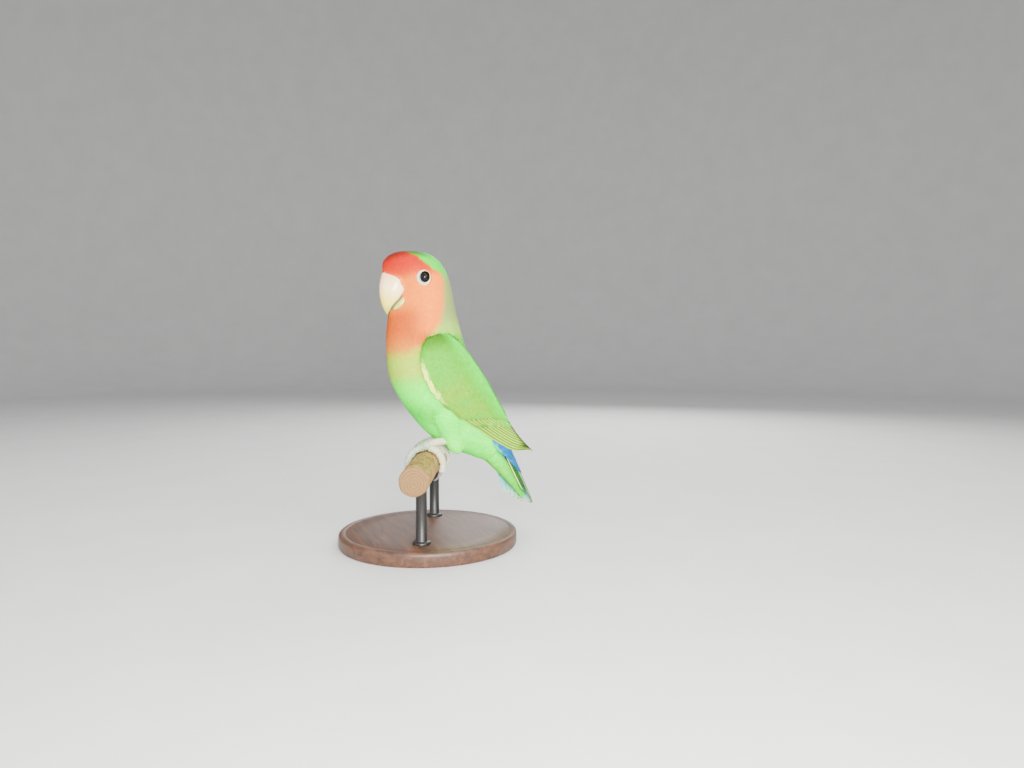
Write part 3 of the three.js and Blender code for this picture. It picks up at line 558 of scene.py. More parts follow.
def feather_material(name, barbs, contrast, bump, rough=0.62, sheen=0.05):
    """Vanes: their own tint, with the herringbone of the barbs and fine mottling."""
    g = Graph(name)
    split = g.node("ShaderNodeSeparateXYZ", {0: g.attribute("vane", "Vector")})
    across = g.math("ABSOLUTE", split.outputs["X"])
    lean = g.math("ADD", g.math("MULTIPLY", split.outputs["Y"], barbs),
                  g.math("MULTIPLY", across, -barbs * 0.22))
    wave = g.math("SINE", g.math("MULTIPLY", lean, 6.283))
    fine = g.noise(2600, 3, 0.6)
    soft = g.noise(420, 3, 0.6)
    light = g.between(fine, 0.3, 0.7, 1 - contrast, 1 + contrast)
    patch = g.between(soft, 0.3, 0.7, 1 - contrast * 0.8, 1 + contrast * 0.8)
    value = g.math("MULTIPLY", light, patch)
    hsv = g.node("ShaderNodeHueSaturation", {"Color": g.attribute("tint"), "Value": value})
    height = g.math("ADD", g.math("MULTIPLY", wave, 0.5), g.math("MULTIPLY", fine, 0.8))
    return g.set(base=hsv.outputs["Color"], rough=rough, normal=g.bump(height, bump, 0.0001), sheen=sheen,
                 sheen_rough=0.4, level=0.1)


plume = feather_material("plume", barbs=9, contrast=0.08, bump=0.4, sheen=0.02)
face_plume = feather_material("face_plume", barbs=5, contrast=0.06, bump=0.35, sheen=0.02)
vane_finish = feather_material("vane_finish", barbs=26, contrast=0.07, bump=0.3, rough=0.52)
long_finish = feather_material("long_finish", barbs=60, contrast=0.06, bump=0.3, rough=0.48)


# The tail's frame, and the blue of the rump and of the coverts over the tail's root
TAIL_ROOT = np.array([0, 44.6, 61.6])
TAIL_SLOPE = math.radians(-65.5)
TAIL_HALF, TAIL_SAG, TAIL_OPEN = 8.2, 8.4, 30
TAIL_ROLL = math.radians(16)
tail_along = np.array([0, math.cos(TAIL_SLOPE), math.sin(TAIL_SLOPE)])
tail_up = np.array([0, -math.sin(TAIL_SLOPE), math.cos(TAIL_SLOPE)])
RUMP_EDGE = [
    # distance along the tail, depth of the blue's lower edge under the tail's ridge
    (-16, 5), (-2, 10.2), (3, 10.4), (8.8, 9.2), (12.4, 6.8), (18.8, 5.1), (25, 3.5), (29, 1), (31, -2),
]


def rump_share(p):
    """1 where the rump is blue."""
    off = p - TAIL_ROOT
    along = off @ tail_along
    edge = np.interp(along, [e[0] for e in RUMP_EDGE], [e[1] for e in RUMP_EDGE])
    return smooth(-0.5, 0.6, off @ tail_up + edge) * smooth(-17, -12, along) * smooth(33, 29, along)


# Markings of head and body
PEACH_EDGE = np.array([
    # y, z round the peach of forehead, face and chest
    (-14.7, 172), (-14.7, 162.5), (-9, 159.5), (-4.8, 156), (-1.5, 153.3), (4.5, 150.5),
    (5.3, 144.4), (5.1, 134), (3, 124.6), (-2.4, 117.6), (-6.4, 111.8), (-14, 106), (-45, 103), (-45, 172),
])


def edge_distance(y, z, polygon):
    """Distance to a polygon's outline, positive inside."""
    within = np.zeros(len(y), bool)
    best = np.full(len(y), 1e9)
    for (ay, az), (by, bz) in zip(polygon, np.roll(polygon, -1, axis=0)):
        ey, ez = by - ay, bz - az
        t = np.clip(((y - ay) * ey + (z - az) * ez) / (ey * ey + ez * ez), 0, 1)
        best = np.minimum(best, np.hypot(y - ay - t * ey, z - az - t * ez))
        crosses = (az > z) != (bz > z)
        meet = ay + ey * (z - az) / np.where(ez == 0, 1, ez)
        within ^= crosses & (y < meet)
    return np.where(within, best, -best)


CROWN = colour(34, 190, 20)
CROWN_DARK = colour(44, 62, 20)
NAPE = colour(120, 138, 72)
HINDNECK = colour(136, 182, 60)
MANTLE = colour(70, 163, 14)
BREAST = colour(104, 206, 30)
BELLY = colour(44, 240, 30)
FLANK = colour(60, 244, 44)
FOREHEAD = colour(82, 16, 5)
BROW = colour(164, 26, 5)
BROW_PALE = colour(190, 54, 8)
CHEEK = colour(222, 112, 10)
THROAT = colour(156, 56, 6)
CHEST = colour(184, 84, 8)
CHEST_LIGHT = colour(192, 112, 30)
CHEST_PALE = colour(176, 150, 44)
RUMP = colour(2, 86, 134)
VENT = colour(60, 236, 40)
THIGH_TUFT = colour(90, 250, 54)
# painted shadow for the body's feathers along the top of a folded wing
RIM_PAINTED_SHADE = colour(24, 36, 14)


def body_marking(p, backward):
    """The colour of head and body at each point. backward is -1 at the front and 1 at the back."""
    y, z = p[:, 1], p[:, 2]
    rough = blotches(p, 5, 3)
    rgb = blend(BREAST, BELLY, smooth(104, 80, z))
    # painted shade: the front of the belly is darker towards the bottom
    rgb = blend(rgb, BELLY * 0.5, smooth(84, 74, z) * smooth(-0.1, -0.8, backward) * 0.7)
    rgb = blend(rgb, FLANK, smooth(74, 62, z))
    rgb = blend(rgb, VENT, smooth(0.0, 1.0, smooth(64, 54, z) * smooth(0.5, -0.6, backward)))
    rgb = blend(rgb, BREAST, smooth(0.2, 0.9, blotches(p, 9, 11)) * 0.3)
    back = smooth(0.15, 0.75, backward)
    rgb = blend(rgb, MANTLE, back * smooth(128, 112, z))
    neck = smooth(116, 121, z)
    rgb = blend(rgb, HINDNECK, neck)
    rgb = blend(rgb, NAPE, smooth(116, 132, z) * smooth(158, 148, z))
    crown = smooth(149, 154, z + 0.35 * (y - 2))
    rgb = blend(rgb, CROWN, crown)
    rgb = blend(rgb, CROWN_DARK, smooth(158, 161.8, z) * smooth(2, -8, y) * 0.85)
    edge = edge_distance(y + 0.25 * rough, z + 0.2 * rough, PEACH_EDGE)
    soft = 1.0 + 1.7 * smooth(152, 147, z) + 5.4 * smooth(117, 104, z)
    peach = smooth(-1, 1, edge / soft)
    face = blend(CHEEK, THROAT, smooth(136, 126, z) * smooth(-2, -16, y) * 0.75)
    face = blend(face, CHEST, smooth(121, 116, z))
    face = blend(face, CHEST_LIGHT, smooth(117.5, 109, z))
    brow = smooth(146, 152, z + 0.18 * (-12 - y))
    face = blend(face, BROW_PALE, brow)
    face = blend(face, BROW, smooth(149, 156.5, z + 0.1 * (-12 - y)))
    red = smooth(156, 162.5, z - 0.35 * (y + 18)) * smooth(4, 9, -y - 5)
    face = blend(face, FOREHEAD, red * 0.85)
    fade = np.exp(-((z - 98 - 0.15 * (y + 15)) / 5.5) ** 2) * smooth(0.5, -0.1, backward)
    rgb = blend(rgb, CHEST_PALE, fade * 0.6)
    rgb = blend(rgb, face, peach)
    return blend(rgb, RUMP, rump_share(p))


# Eye
EYE_LEFT = np.array([10.4, -4.65, 148.3])
EYE_RADIUS = 3.3
EYE_TURN = math.radians(14)
SKIN_OPENING = 4.1  # the skin is pressed in this far round an eye's axis
FROM_MIDDLE = 2  # points nearer to the middle plane belong to neither eye


def eye_axes(side):
    """The eye's centre, its outward axis, and its level and upright axes."""
    out = np.array([side * math.cos(EYE_TURN), -math.sin(EYE_TURN), 0])
    level = np.array([side * math.sin(EYE_TURN), math.cos(EYE_TURN), 0])
    return EYE_LEFT * [side, 1, 1], out, level, np.array([0, 0, 1.0])


def from_eye(p, side):
    """The way to each point from an eye's axis, square to the axis."""
    centre, out, _, _ = eye_axes(side)
    return p - centre - dot(p - centre, out) * out


def eye_distance(p):
    """Distance from the nearer eye's axis."""
    best = np.full(len(p), 1e9)
    for _, side in SIDES:
        reach = np.linalg.norm(from_eye(p, side), axis=-1)
        best = np.where(p[:, 0] * side > FROM_MIDDLE, np.minimum(best, reach), best)
    return best


RING_SHIFT = (-0.6, -0.4)  # of the bare ring's outer edge, back and up from the eye's axis
RING_HALF = (4.1, 4.45)  # its half width and half height


def ring_reach(p):
    """How far out each point lies from the nearer eye: 1 on the outer edge of its ring."""
    best = np.full(len(p), 99.0)
    for _, side in SIDES:
        centre, _, level, upright = eye_axes(side)
        off = p - centre
        aside, up = off @ level - RING_SHIFT[0], off @ upright - RING_SHIFT[1]
        reach = np.hypot(aside / RING_HALF[0], up / RING_HALF[1])
        best = np.where(p[:, 0] * side > FROM_MIDDLE, reach, best)
    return best


# Bill sections: y, z, turn, half depth, half width
UPPER_BILL = [
    (-15, 149.2, 40, 6, 6),
    (-19.1, 145.7, 46, 8, 7.2),
    (-21, 141.1, 58, 6.7, 6.6),
    (-21.9, 137.2, 68, 5.2, 5.4),
    (-22.5, 133.8, 77, 3.4, 3.7),
    (-22.8, 131, 88, 1.7, 2),
    (-22.7, 128.6, 96, 0.4, 0.5),
]
LOWER_BILL = [
    (-12.2, 140.2, 34, 2.4, 4.4),
    (-14.8, 136.6, 38, 3.8, 7.1),
    (-17.2, 133.8, 44, 3.7, 6.5),
    (-19.4, 131.4, 50, 2.8, 4.6),
    (-20.6, 130.5, 58, 0.9, 2.2),
]


def bill_rings(sections, flatness, rows, columns, power, lean):
    """Rings of a bill: flatness and power flatten and square the lower half, and lean narrows the
    upper half towards the head."""
    share = np.linspace(0, 1, rows)
    y, z, turn, depth, width = (read(share)[:, None] for read in readings(sections))
    turn = np.radians(turn)
    angle = 2 * np.pi * (np.arange(columns) + 0.5)[None] / columns
    rise = np.cos(angle)
    level = np.where(rise < 0, -flatness * np.abs(rise) ** power, rise)
    full = np.sign(np.sin(angle)) * np.abs(np.sin(angle)) ** np.where(rise < 0, power, 1)
    narrow = 0.22 + (lean - 0.22) * smooth(0.42, 0.0, share)[:, None]
    spread = full * (1 - narrow * np.maximum(rise, 0))
    p = np.zeros((rows, columns, 3))
    p[..., 0] = spread * width
    p[..., 1] = y - np.sin(turn) * level * depth
    p[..., 2] = z + np.cos(turn) * level * depth
    return p


bill_parts = {
    "upper_bill": rings_mesh(
        bill_rings(UPPER_BILL, flatness=0.86, rows=120, columns=96, power=0.4, lean=0.6)),
    "lower_bill": rings_mesh(
        bill_rings(LOWER_BILL, flatness=0.9, rows=80, columns=80, power=0.6, lean=0.22)),
}
bill_trees = [tree_of(*part) for part in bill_parts.values()]

# The body's outer form
share_grid = np.linspace(0.004, 1, 130)
angle_grid = turns(72)
outer_rings = body_point(share_grid[:, None], angle_grid[None])
body_tree = tree_of(*rings_mesh(outer_rings))

# Thighs: offsets from the ankle outward, back and up, with a radius
ANKLE = {"left": np.array([9.6, 7.6, 58.6]), "right": np.array([-9.6, 14.6, 58.6])}
THIGH = [
    (2.4, -3.6, 20.4, 7.4),
    (2.6, -1, 13, 7.2),
    (0.8, 2.4, 5, 5.8),
    (-0.2, 5, -2, 4.8),
    (-0.8, 7.4, -5.6, 2.6),
]
TUBE_STEPS = 100


def tube_point(points, radii):
    """A tube's surface as a function of the share along it and the angle round it."""
    line = curve_through(points)
    radius = values_through(radii)
    steps = np.linspace(0, 1, TUBE_STEPS + 1)
    tangent = unit(line(np.clip(steps + 1e-3, 0, 1)) - line(np.clip(steps - 1e-3, 0, 1)))
    guess = np.array([0, 0, 1.0]) if abs(tangent[0, 0]) > 0.8 else np.array([1.0, 0, 0])
    across = []
    for t in tangent:
        guess = guess - np.dot(guess, t) * t
        guess /= np.linalg.norm(guess)
        across.append(guess)
    across = np.array(across)

    def at(share, angle, grow=0.0):
        share, angle = together(share, angle)
        s = np.clip(share, 0, 1) * TUBE_STEPS
        i = np.minimum(s.astype(int), TUBE_STEPS - 1)
        w = (s - i)[..., None]
        a = unit(across[i] * (1 - w) + across[i + 1] * w)
        t = unit(tangent[i] * (1 - w) + tangent[i + 1] * w)
        b = np.cross(t, a)
        r = (np.maximum(radius(share), 0.05) + grow)[..., None]
        return line(share) + (a * np.cos(angle)[..., None] + b * np.sin(angle)[..., None]) * r

    at.line = line
    return at


def tube_rings(at, rows, columns, grow=0.0):
    return at(np.linspace(0, 1, rows)[:, None], turns(columns)[None], grow)


def thigh_surface(name, side):
    points = [ANKLE[name] + np.array([side * o, b, u]) for o, b, u, _ in THIGH]
    return tube_point(points, [t[3] for t in THIGH])


thighs = {name: thigh_surface(name, side) for name, side in SIDES}
thigh_trees = [tree_of(*rings_mesh(tube_rings(at, 40, 32))) for at in thighs.values()]


def fused(name, objects, voxel, smoothing):
    """Joins closed forms into one surface, and returns it with its points and normals."""
    with bpy.context.temp_override(active_object=objects[0], selected_editable_objects=objects):
        bpy.ops.object.join()
    obj = objects[0]
    remesh = obj.modifiers.new("fuse", "REMESH")
    remesh.mode = "VOXEL"
    remesh.voxel_size = voxel * MM
    remesh.use_smooth_shade = True
    relax = obj.modifiers.new("relax", "SMOOTH")
    relax.iterations = smoothing
    relax.factor = 0.6
    mesh = bpy.data.meshes.new_from_object(obj.evaluated_get(bpy.context.evaluated_depsgraph_get()))
    obj.modifiers.clear()
    obj.data = mesh
    obj.name = name
    co = np.empty(len(mesh.vertices) * 3, np.float32)
    mesh.vertices.foreach_get("co", co)
    normal = np.empty(len(mesh.vertices) * 3, np.float32)
    mesh.vertices.foreach_get("normal", normal)
    return obj, co.reshape(-1, 3).astype(float) / MM, normal.reshape(-1, 3).astype(float)


def flesh(name, inset, smoothing):
    """Body and thighs as one smooth form, inset from the outer form."""
    share, angle = np.meshgrid(share_grid, angle_grid, indexing="ij")
    rings = outer_rings - surface_normal(body_point, share, angle, body_spine) * inset
    forms = [make_object(name, *rings_mesh(rings))]
    for at in thighs.values():
        forms.append(make_object(name + "_leg", *rings_mesh(tube_rings(at, 40, 32, -inset))))
    return fused(name, forms, voxel=0.75, smoothing=smoothing)


# The surface that the feathers' tips lie on, rounded where thigh and belly meet
cover, cover_points, cover_normals = flesh("cover", inset=0.0, smoothing=14)
cover.data.calc_loop_triangles()
cover_tris = np.empty(len(cover.data.loop_triangles) * 3, np.int32)
cover.data.loop_triangles.foreach_get("vertices", cover_tris)
cover_tris = cover_tris.reshape(-1, 3)
cover_tree = tree_of(cover_points, cover_tris)
bpy.data.objects.remove(cover)


def on_cover(points):
    """The nearest places on the covering surface, with its smooth normals."""
    places, normals = np.empty((len(points), 3)), np.empty((len(points), 3))
    for i, p in enumerate(points):
        place, _, index, _ = cover_tree.find_nearest(Vector(p))
        places[i] = place
        normals[i] = cover_normals[cover_tris[index]].sum(0)
    return places, unit(normals)


# Wings
LEADING_EDGE = [
    (16.4, -2.6, 116.6), (18.6, -7, 114.4), (20.4, -9.8, 108.6), (21.2, -9.8, 101),
    (21.6, -6.4, 91), (20.6, 1.8, 80.6), (17.8, 12.8, 72), (14, 25, 64.4),
    (10.2, 37, 56.8), (6.6, 49, 50.6), (3.6, 63.6, 46.8),
]
TRAILING_EDGE = [
    (15.8, 2.2, 117.8), (14, 8.8, 116.8), (12.4, 14, 113.4), (10.8, 19.6, 108.4),
    (9, 26.4, 100), (7.8, 32.4, 91.4), (6.8, 37.8, 82.8), (6, 43, 74.2),
    (5.2, 48.2, 66), (4.4, 54.4, 58), (3.2, 63.8, 48.6),
]
leading_edge = curve_through(LEADING_EDGE)
trailing_edge = curve_through(TRAILING_EDGE)
wing_bulge = values_through([1.2, 3, 4.6, 5.8, 6, 5.8, 4.8, 3.6, 2.4, 1.4, 0.4])
# Shares of the wing's length at its leading and its trailing edge
ARM_END = (0.5, 0.6)
SMALL_COVERT_END = (0.58, 0.73)


def wing_base(along, across):
    along, across = together(along, across)
    low, high = leading_edge(along), trailing_edge(along)
    step = high - low
    near = 1e-4
    forward = unit(leading_edge(along + near) - leading_edge(along - near))
    forward = forward + unit(trailing_edge(along + near) - trailing_edge(along - near))
    outward = unit(np.cross(forward, step))
    outward = np.where(outward[..., :1] < 0, -outward, outward)
    v = across[..., None]
    return low + step * v + outward * (wing_bulge(along)[..., None] * 4 * v * (1 - v))


def wing_normal(along, across):
    reach = 0.01
    along, across = together(along, across)
    a = wing_base(np.minimum(along + reach, 1), across) - wing_base(np.maximum(along - reach, 0), across)
    b = wing_base(along, across + reach) - wing_base(along, across - reach)
    n = unit(np.cross(a, b))
    return np.where(n[..., :1] < 0, -n, n)


def wing_point(along, across, height):
    return wing_base(along, across) + wing_normal(along, across) * np.asarray(height)[..., None]


def wing_span(along):
    return np.linalg.norm(leading_edge(along) - trailing_edge(along), axis=-1)


def slanted(pair, across):
    return pair[0] + (pair[1] - pair[0]) * across


wing_rows, wing_columns = 60, 24
wing_sheet = wing_point(np.linspace(0.01, 1, wing_rows)[:, None],
                        np.linspace(0, 1, wing_columns)[None], -1.0)
wing_quads = grid_faces(wing_rows, wing_columns, False)
wing_tree = tree_of(wing_sheet.reshape(-1, 3), halves(wing_quads))


def under_wing(points, normals):
    """True for each point that a folded wing covers well inside the wing's edges."""
    covered = np.zeros(len(points), bool)
    flip = np.where(points[:, :1] < 0, MIRROR, 1)
    for i, (p, n) in enumerate(zip(points * flip, normals * flip)):
        _, _, index, _ = wing_tree.ray_cast(Vector(p) - Vector(n) * 3.0, Vector(n), 14)
        if index is not None:
            row, column = divmod(index % len(wing_quads), wing_columns - 1)
            covered[i] = 3 < column < wing_columns - 4 and row > 4
    return covered


# Coat of the body
def lie_of_coat(p, normal, share):
    """The way that feathers point: back from the bill over the head, then down the body."""
    step = 2e-3
    away = p - BILL_ROOT
    distance = np.linalg.norm(away, axis=-1)
    near = (1 - smooth(13, 34, distance))[:, None]
    back = flat(np.repeat([[0, 0.7, -0.72]], len(p), 0), normal)
    down = flat(unit(body_spine(share + step) - body_spine(share - step)), normal)
    body = unit(blend(back, down, smooth(0.34, 0.5, share)))
    way = flat(flat(away, normal) * near + body * (1 - near), normal)
    for _, side in SIDES:
        off = from_eye(p, side)
        reach = np.linalg.norm(off, axis=-1, keepdims=True)
        inward = np.maximum(-dot(way, off) / reach, 0)
        beside = smooth(9, 4.8, reach) * (p[:, :1] * side > FROM_MIDDLE)
        way = way + off / reach * inward * beside
    return flat(way, normal)


def puff(p):
    """How far the coat stands out past the body's form over the bill."""
    off = (p - np.array([0, -25.0, 156.0])) / np.array([7, 6, 3.4])
    return 0.75 * np.exp(-np.sum(off ** 2, -1))[:, None]


FEATHER_LINE = [
    # y, z of the lowest feathers over the bill
    (-26, 150.6), (-24.8, 150.6), (-22.9, 150), (-21.3, 149.2), (-18.6, 147.2), (-16.5, 144.6),
    (-15, 141.6), (-14.2, 141),
]


def over_bill(p):
    """How far feathers over the bill's upper corner must rise to lie on it, and where they do."""
    reach = np.interp(p[:, 1], [f[0] for f in FEATHER_LINE], [f[1] for f in FEATHER_LINE])
    spot = (p[:, 2] > reach) & (p[:, 1] < -12)
    rise = np.zeros(len(p))
    rise[spot] = np.clip(depth_inside(bill_trees[0], p[spot]) + 0.3, 0, 3)
    return rise, spot


wing_rim = np.vstack([leading_edge(np.linspace(0, 0.2, 30)), trailing_edge(np.linspace(0, 0.16, 24)),
                      wing_base(np.zeros(9), np.linspace(0, 1, 9))])


def rim_shadow(p):
    """1 at the crease along the top of a folded wing, where shadow is painted on the body's feathers."""
    place = np.abs(p[:, :1]) * [1, 0, 0] + p * [0, 1, 1]
    gap = np.min(np.linalg.norm(place[:, None] - wing_rim[None], axis=-1), axis=1)
    return smooth(3.6, 2.0, gap)


def face_spacing(p):
    r = 0.4 + 0.24 * smooth(10, 30, np.linalg.norm(p - BILL_ROOT, axis=-1))
    return np.minimum(r, 0.36 + 0.28 * smooth(4, 9, eye_distance(p)))


def body_spacing(p):
    return 0.6 + 0.16 * smooth(126, 96, p[:, 2])


def body_vanes(coat, low, high, spacing, form, stretch, slim, seed):
    """Feathers over part of the body. stretch is their length in spacings, slim their width."""
    share, angle, p, normal = scatter(body_point, body_spine, low, high, spacing, seed)
    keep = ~under_wing(p, normal)
    rise, on_bill = over_bill(p)
    for tree in bill_trees:
        keep &= on_bill | (depth_inside(tree, p) < -BILL_GAP)
    for tree in thigh_trees:
        keep &= depth_inside(tree, p) < COAT_OVERLAP
    keep &= ring_reach(p) > 0.98
    share, angle, p, normal, rise = share[keep], angle[keep], p[keep], normal[keep], rise[keep]
    draw = np.random.default_rng(seed + 1)
    p, cover_normal = on_cover(p)
    normal = unit(normal * 0.5 + cover_normal)
    p = p + normal * rise[:, None] * 1.1
    way = lie_of_coat(p, normal, share)
    way = unit(way + np.cross(way, normal) * draw.normal(0, 0.1, (len(p), 1)))
    gap = spacing(p)
    length = gap * stretch * draw.uniform(0.85, 1.15, len(p))
    length[ring_reach(p + way * length[:, None]) < 1.03] *= 0.4
    tip, tip_normal = on_cover(p + way * length[:, None])
    tip_normal = unit(tip_normal + normal * 0.25)
    tip = tip + tip_normal * over_bill(tip)[0][:, None] * 1.1
    tip = tip + tip_normal * (puff(tip) + draw.normal(0.0, 0.03, (len(p), 1)))
    tip = tip - normal * 0.25 * (ring_reach(tip) < 1)[:, None]
    root = p + normal * (puff(p) - ROOT_DEPTH * np.minimum(1, gap[:, None] / 0.8))
    tint = body_marking(p + way * length[:, None] * 0.6, -np.cos(angle))
    # painted shadow darkens the body's feathers along the wing's top
    tint = blend(tint, RIM_PAINTED_SHADE, rim_shadow(p) * 0.85)
    tint = varied(tint, draw)
    place = on_map(angle / (2 * np.pi), (share - low) / (high - low))
    coat.add(form, root, normal, tip, tip_normal, gap * slim * draw.uniform(0.9, 1.1, len(p)), tint, place,
             seed=seed + 2)


# Shares of the body's length where its coat begins, changes from the head's to the body's, and ends
COAT_TOP, NECK_SHARE, COAT_END = 0.006, 7.6 / 15, 0.985
head_coat = Coat("coat_head", face_plume)
body_vanes(head_coat, COAT_TOP, NECK_SHARE, face_spacing, SMALL_VANE, stretch=4.2, slim=1.9, seed=21)
body_coat = Coat("coat_body", plume)
body_vanes(body_coat, NECK_SHARE, COAT_END, body_spacing, BODY_VANE, stretch=5.2, slim=2.4, seed=31)


def thigh_vanes(name, seed):
    at = thighs[name]

    def spacing(p):
        return 0.72 + 0.14 * smooth(60, 75, p[:, 2])

    share, angle, p, normal = scatter(at, at.line, 0.03, 0.97, spacing, seed, grid=(60, 60))
    keep = (depth_inside(body_tree, p) < COAT_OVERLAP) & ~under_wing(p, normal)
    share, angle, p, normal = share[keep], angle[keep], p[keep], normal[keep]
    draw = np.random.default_rng(seed + 1)
    p, cover_normal = on_cover(p)
    normal = unit(normal * 0.5 + cover_normal)
    step = 1e-3
    way = flat(unit(at.line(share + step) - at.line(share - step)), normal)
    way = unit(way + np.cross(way, normal) * draw.normal(0, 0.12, (len(p), 1)))
    gap = spacing(p)
    loose = smooth(0.6, 0.85, share)
    length = gap * 5 * draw.uniform(0.9, 1.1, len(p))
    free = p + (way + np.array([0, 0, -0.2]) * loose[:, None]) * length[:, None]
    tip, tip_normal = on_cover(free)
    tip = tip + (free - tip) * 0.6 * loose[:, None]
    tint = body_marking(p, np.zeros(len(p)))
    tint = blend(tint, THIGH_TUFT, smooth(66, 56, p[:, 2]))
    tint = varied(tint, draw)
    place = on_map(angle / (2 * np.pi), share)
    coat = Coat("coat_thigh_" + name, plume)
    coat.add(BODY_VANE, p - normal * ROOT_DEPTH, normal, tip, tip_normal, gap * 2.3, tint, place,
             seed=seed + 2)
    return coat


thigh_coats = [thigh_vanes(name, 41 + 4 * k) for k, (name, _) in enumerate(SIDES)]

# Skin: head, neck, torso and thighs as one form, inside the coat
skin, points, _ = flesh("skin", inset=COAT_DEPTH, smoothing=8)
eyes_near = eye_distance(points) < SKIN_OPENING
for _, side in SIDES:
    centre, out, _, _ = eye_axes(side)
    height = (points - centre) @ out
    dip = eyes_near & (points[:, 0] * side > FROM_MIDDLE) & (height > 0.3)
    points[dip] -= out * (height[dip] - 0.3)[:, None]
skin.data.vertices.foreach_set("co", (points * MM).astype(np.float32).ravel())
spine = body_spine(np.linspace(0, 1, 200))[::4]
closest = np.argmin(np.linalg.norm(points[:, None, 1:] - spine[None, :, 1:], axis=-1), axis=1)
centre_y = spine[closest, 1]
add_colours(skin, body_marking(points, np.clip((points[:, 1] - centre_y) / 16, -1, 1)) * 0.8)
g = Graph("skin")
under = g.noise(900, 4, 0.6)
tone = g.speckled(g.attribute("tint"), under, 0.35, (0.25, 0.3, 0.14))
bare_skin = g.set(base=tone, rough=0.75, normal=g.bump(under, 0.4, 0.0002), sheen=0.2)
finish_piece(skin, bare_skin)
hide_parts("head", "neck", "torso", "thigh_left", "thigh_right")
for coat in (head_coat, body_coat, *thigh_coats):
    coat.build()


# Long feathers, each a closed form, thickest along its middle
def grid_solid(over, under):
    """Points and triangles of a closed sheet between two grids."""
    rows, columns = over.shape[:2]
    below = rows * columns
    sheet = halves(grid_faces(rows, columns, False))
    tris = [sheet, below + sheet[:, [0, 2, 1]]]
    index = np.arange(rows * columns).reshape(rows, columns)
    rim = np.concatenate([index[0], index[1:, -1], index[-1, -2::-1], index[-2:0:-1, 0]])
    after = np.roll(rim, -1)
    tris += [np.stack([after, rim, below + rim], -1), np.stack([after, below + rim, below + after], -1)]
    return np.vstack([over.reshape(-1, 3), under.reshape(-1, 3)]), np.vstack(tris)


class LongCoat:
    """Long feathers gathered into one mesh."""

    def __init__(self, name, material, nodes=()):
        self.name, self.material, self.nodes = name, material, nodes
        self.verts, self.tris, self.rgb, self.uv, self.mark = [], [], [], [], []

    def add(self, place, tint, rows, columns, thick, patch, half=None, seed=0, fray=0.05, flip=False):
        """Adds one feather with a frayed edge. t runs along it and u from -1 to 1 across it.

        place(t, u, height) gives points, tint(t, u, top) colours and half(t) the outline; patch
        is the middle and the size of its spot on the bake map."""
        draw = np.random.default_rng(seed)
        t = np.linspace(0, 1, rows)[:, None] ** 0.9 + np.zeros(columns)
        u = np.linspace(-1, 1, columns) + 0 * t
        notch = 1 - np.abs(draw.normal(0, fray, (rows, 2))) * smooth(0.1, 0.5, t[:, :1])
        wide = np.where(u < 0, notch[:, :1], notch[:, 1:])
        if half is not None:
            wide = wide * half(t)
        thin = thick * (1 - 0.75 * np.abs(u)) * (1 - 0.5 * t)
        points, tris = grid_solid(place(t, u * wide, 0 * u), place(t, u * wide, -thin))
        if flip:
            points = points * MIRROR
        uv = np.stack([patch[0] + u * patch[2] / 2, patch[1] + (t - 0.5) * patch[3]], -1)
        mark = np.stack([u, t, 0 * t + draw.random()], -1)
        self.tris.append(facing_out(points, tris) + sum(len(verts) for verts in self.verts))
        self.verts.append(points)
        self.rgb += [tint(t, u, top).reshape(-1, 3) for top in (True, False)]
        self.uv += [uv.reshape(-1, 2)] * 2
        self.mark += [mark.reshape(-1, 3)] * 2

    def build(self):
        obj = make_object(self.name, np.vstack(self.verts), np.vstack(self.tris))
        add_colours(obj, np.vstack(self.rgb))
        add_vectors(obj, "vane", np.vstack(self.mark))
        add_bake_map(obj, np.vstack(self.uv))
        finish_piece(obj, self.material)
        if self.nodes:
            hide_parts(*self.nodes)


WING_SHOULDER = colour(60, 116, 8)
WING_GREEN = colour(74, 164, 10)
WING_OLIVE = colour(114, 152, 10)
WING_COOL = colour(70, 160, 50)
WING_BACK = colour(34, 228, 12)
WING_PALE = colour(222, 244, 92)
VANE_RIM = colour(206, 228, 84)
VANE_DARK = colour(26, 28, 16)
VANE_OLIVE = colour(112, 170, 22)


def wing_marking(along, across, p):
    """The colour of the folded wing from its shoulder to the ends of the coverts, with painted shadow along
    its top and the upper part of its trailing edge.
    """
    rgb = blend(WING_SHOULDER, WING_GREEN, smooth(0.1, 0.26, along))
    rgb = blend(rgb, WING_COOL, smooth(-0.2, 0.9, blotches(p, 13, 5)) * 0.55 * smooth(0.1, 0.25, along)
                * smooth(0.7, 0.3, across))
    low = smooth(0.34, 0.48, along) * smooth(0.75, 0.3, across) * smooth(-0.9, 0.4, blotches(p, 11, 6))
    rgb = blend(rgb, WING_OLIVE, low * 0.7)
    rgb = blend(rgb, WING_BACK, smooth(0.5, 0.95, across) * 0.8)
    rgb = blend(rgb, WING_OLIVE, smooth(0.1, 0.9, blotches(p, 7, 8)) * 0.15)
    arc = smooth(0.24, 0.34, along) * smooth(0.54, 0.44, along)
    rgb = blend(rgb, WING_PALE, smooth(0.045, 0.02, across) * arc)
    # painted shadow along the wing's top and the upper part of its trailing edge, where the wing meets the
    # body
    crease = np.maximum(smooth(0.05, 0.028, along),
                        smooth(0.95, 0.98, across) * smooth(0.18, 0.12, along))
    return blend(rgb, VANE_DARK, crease * 0.85)


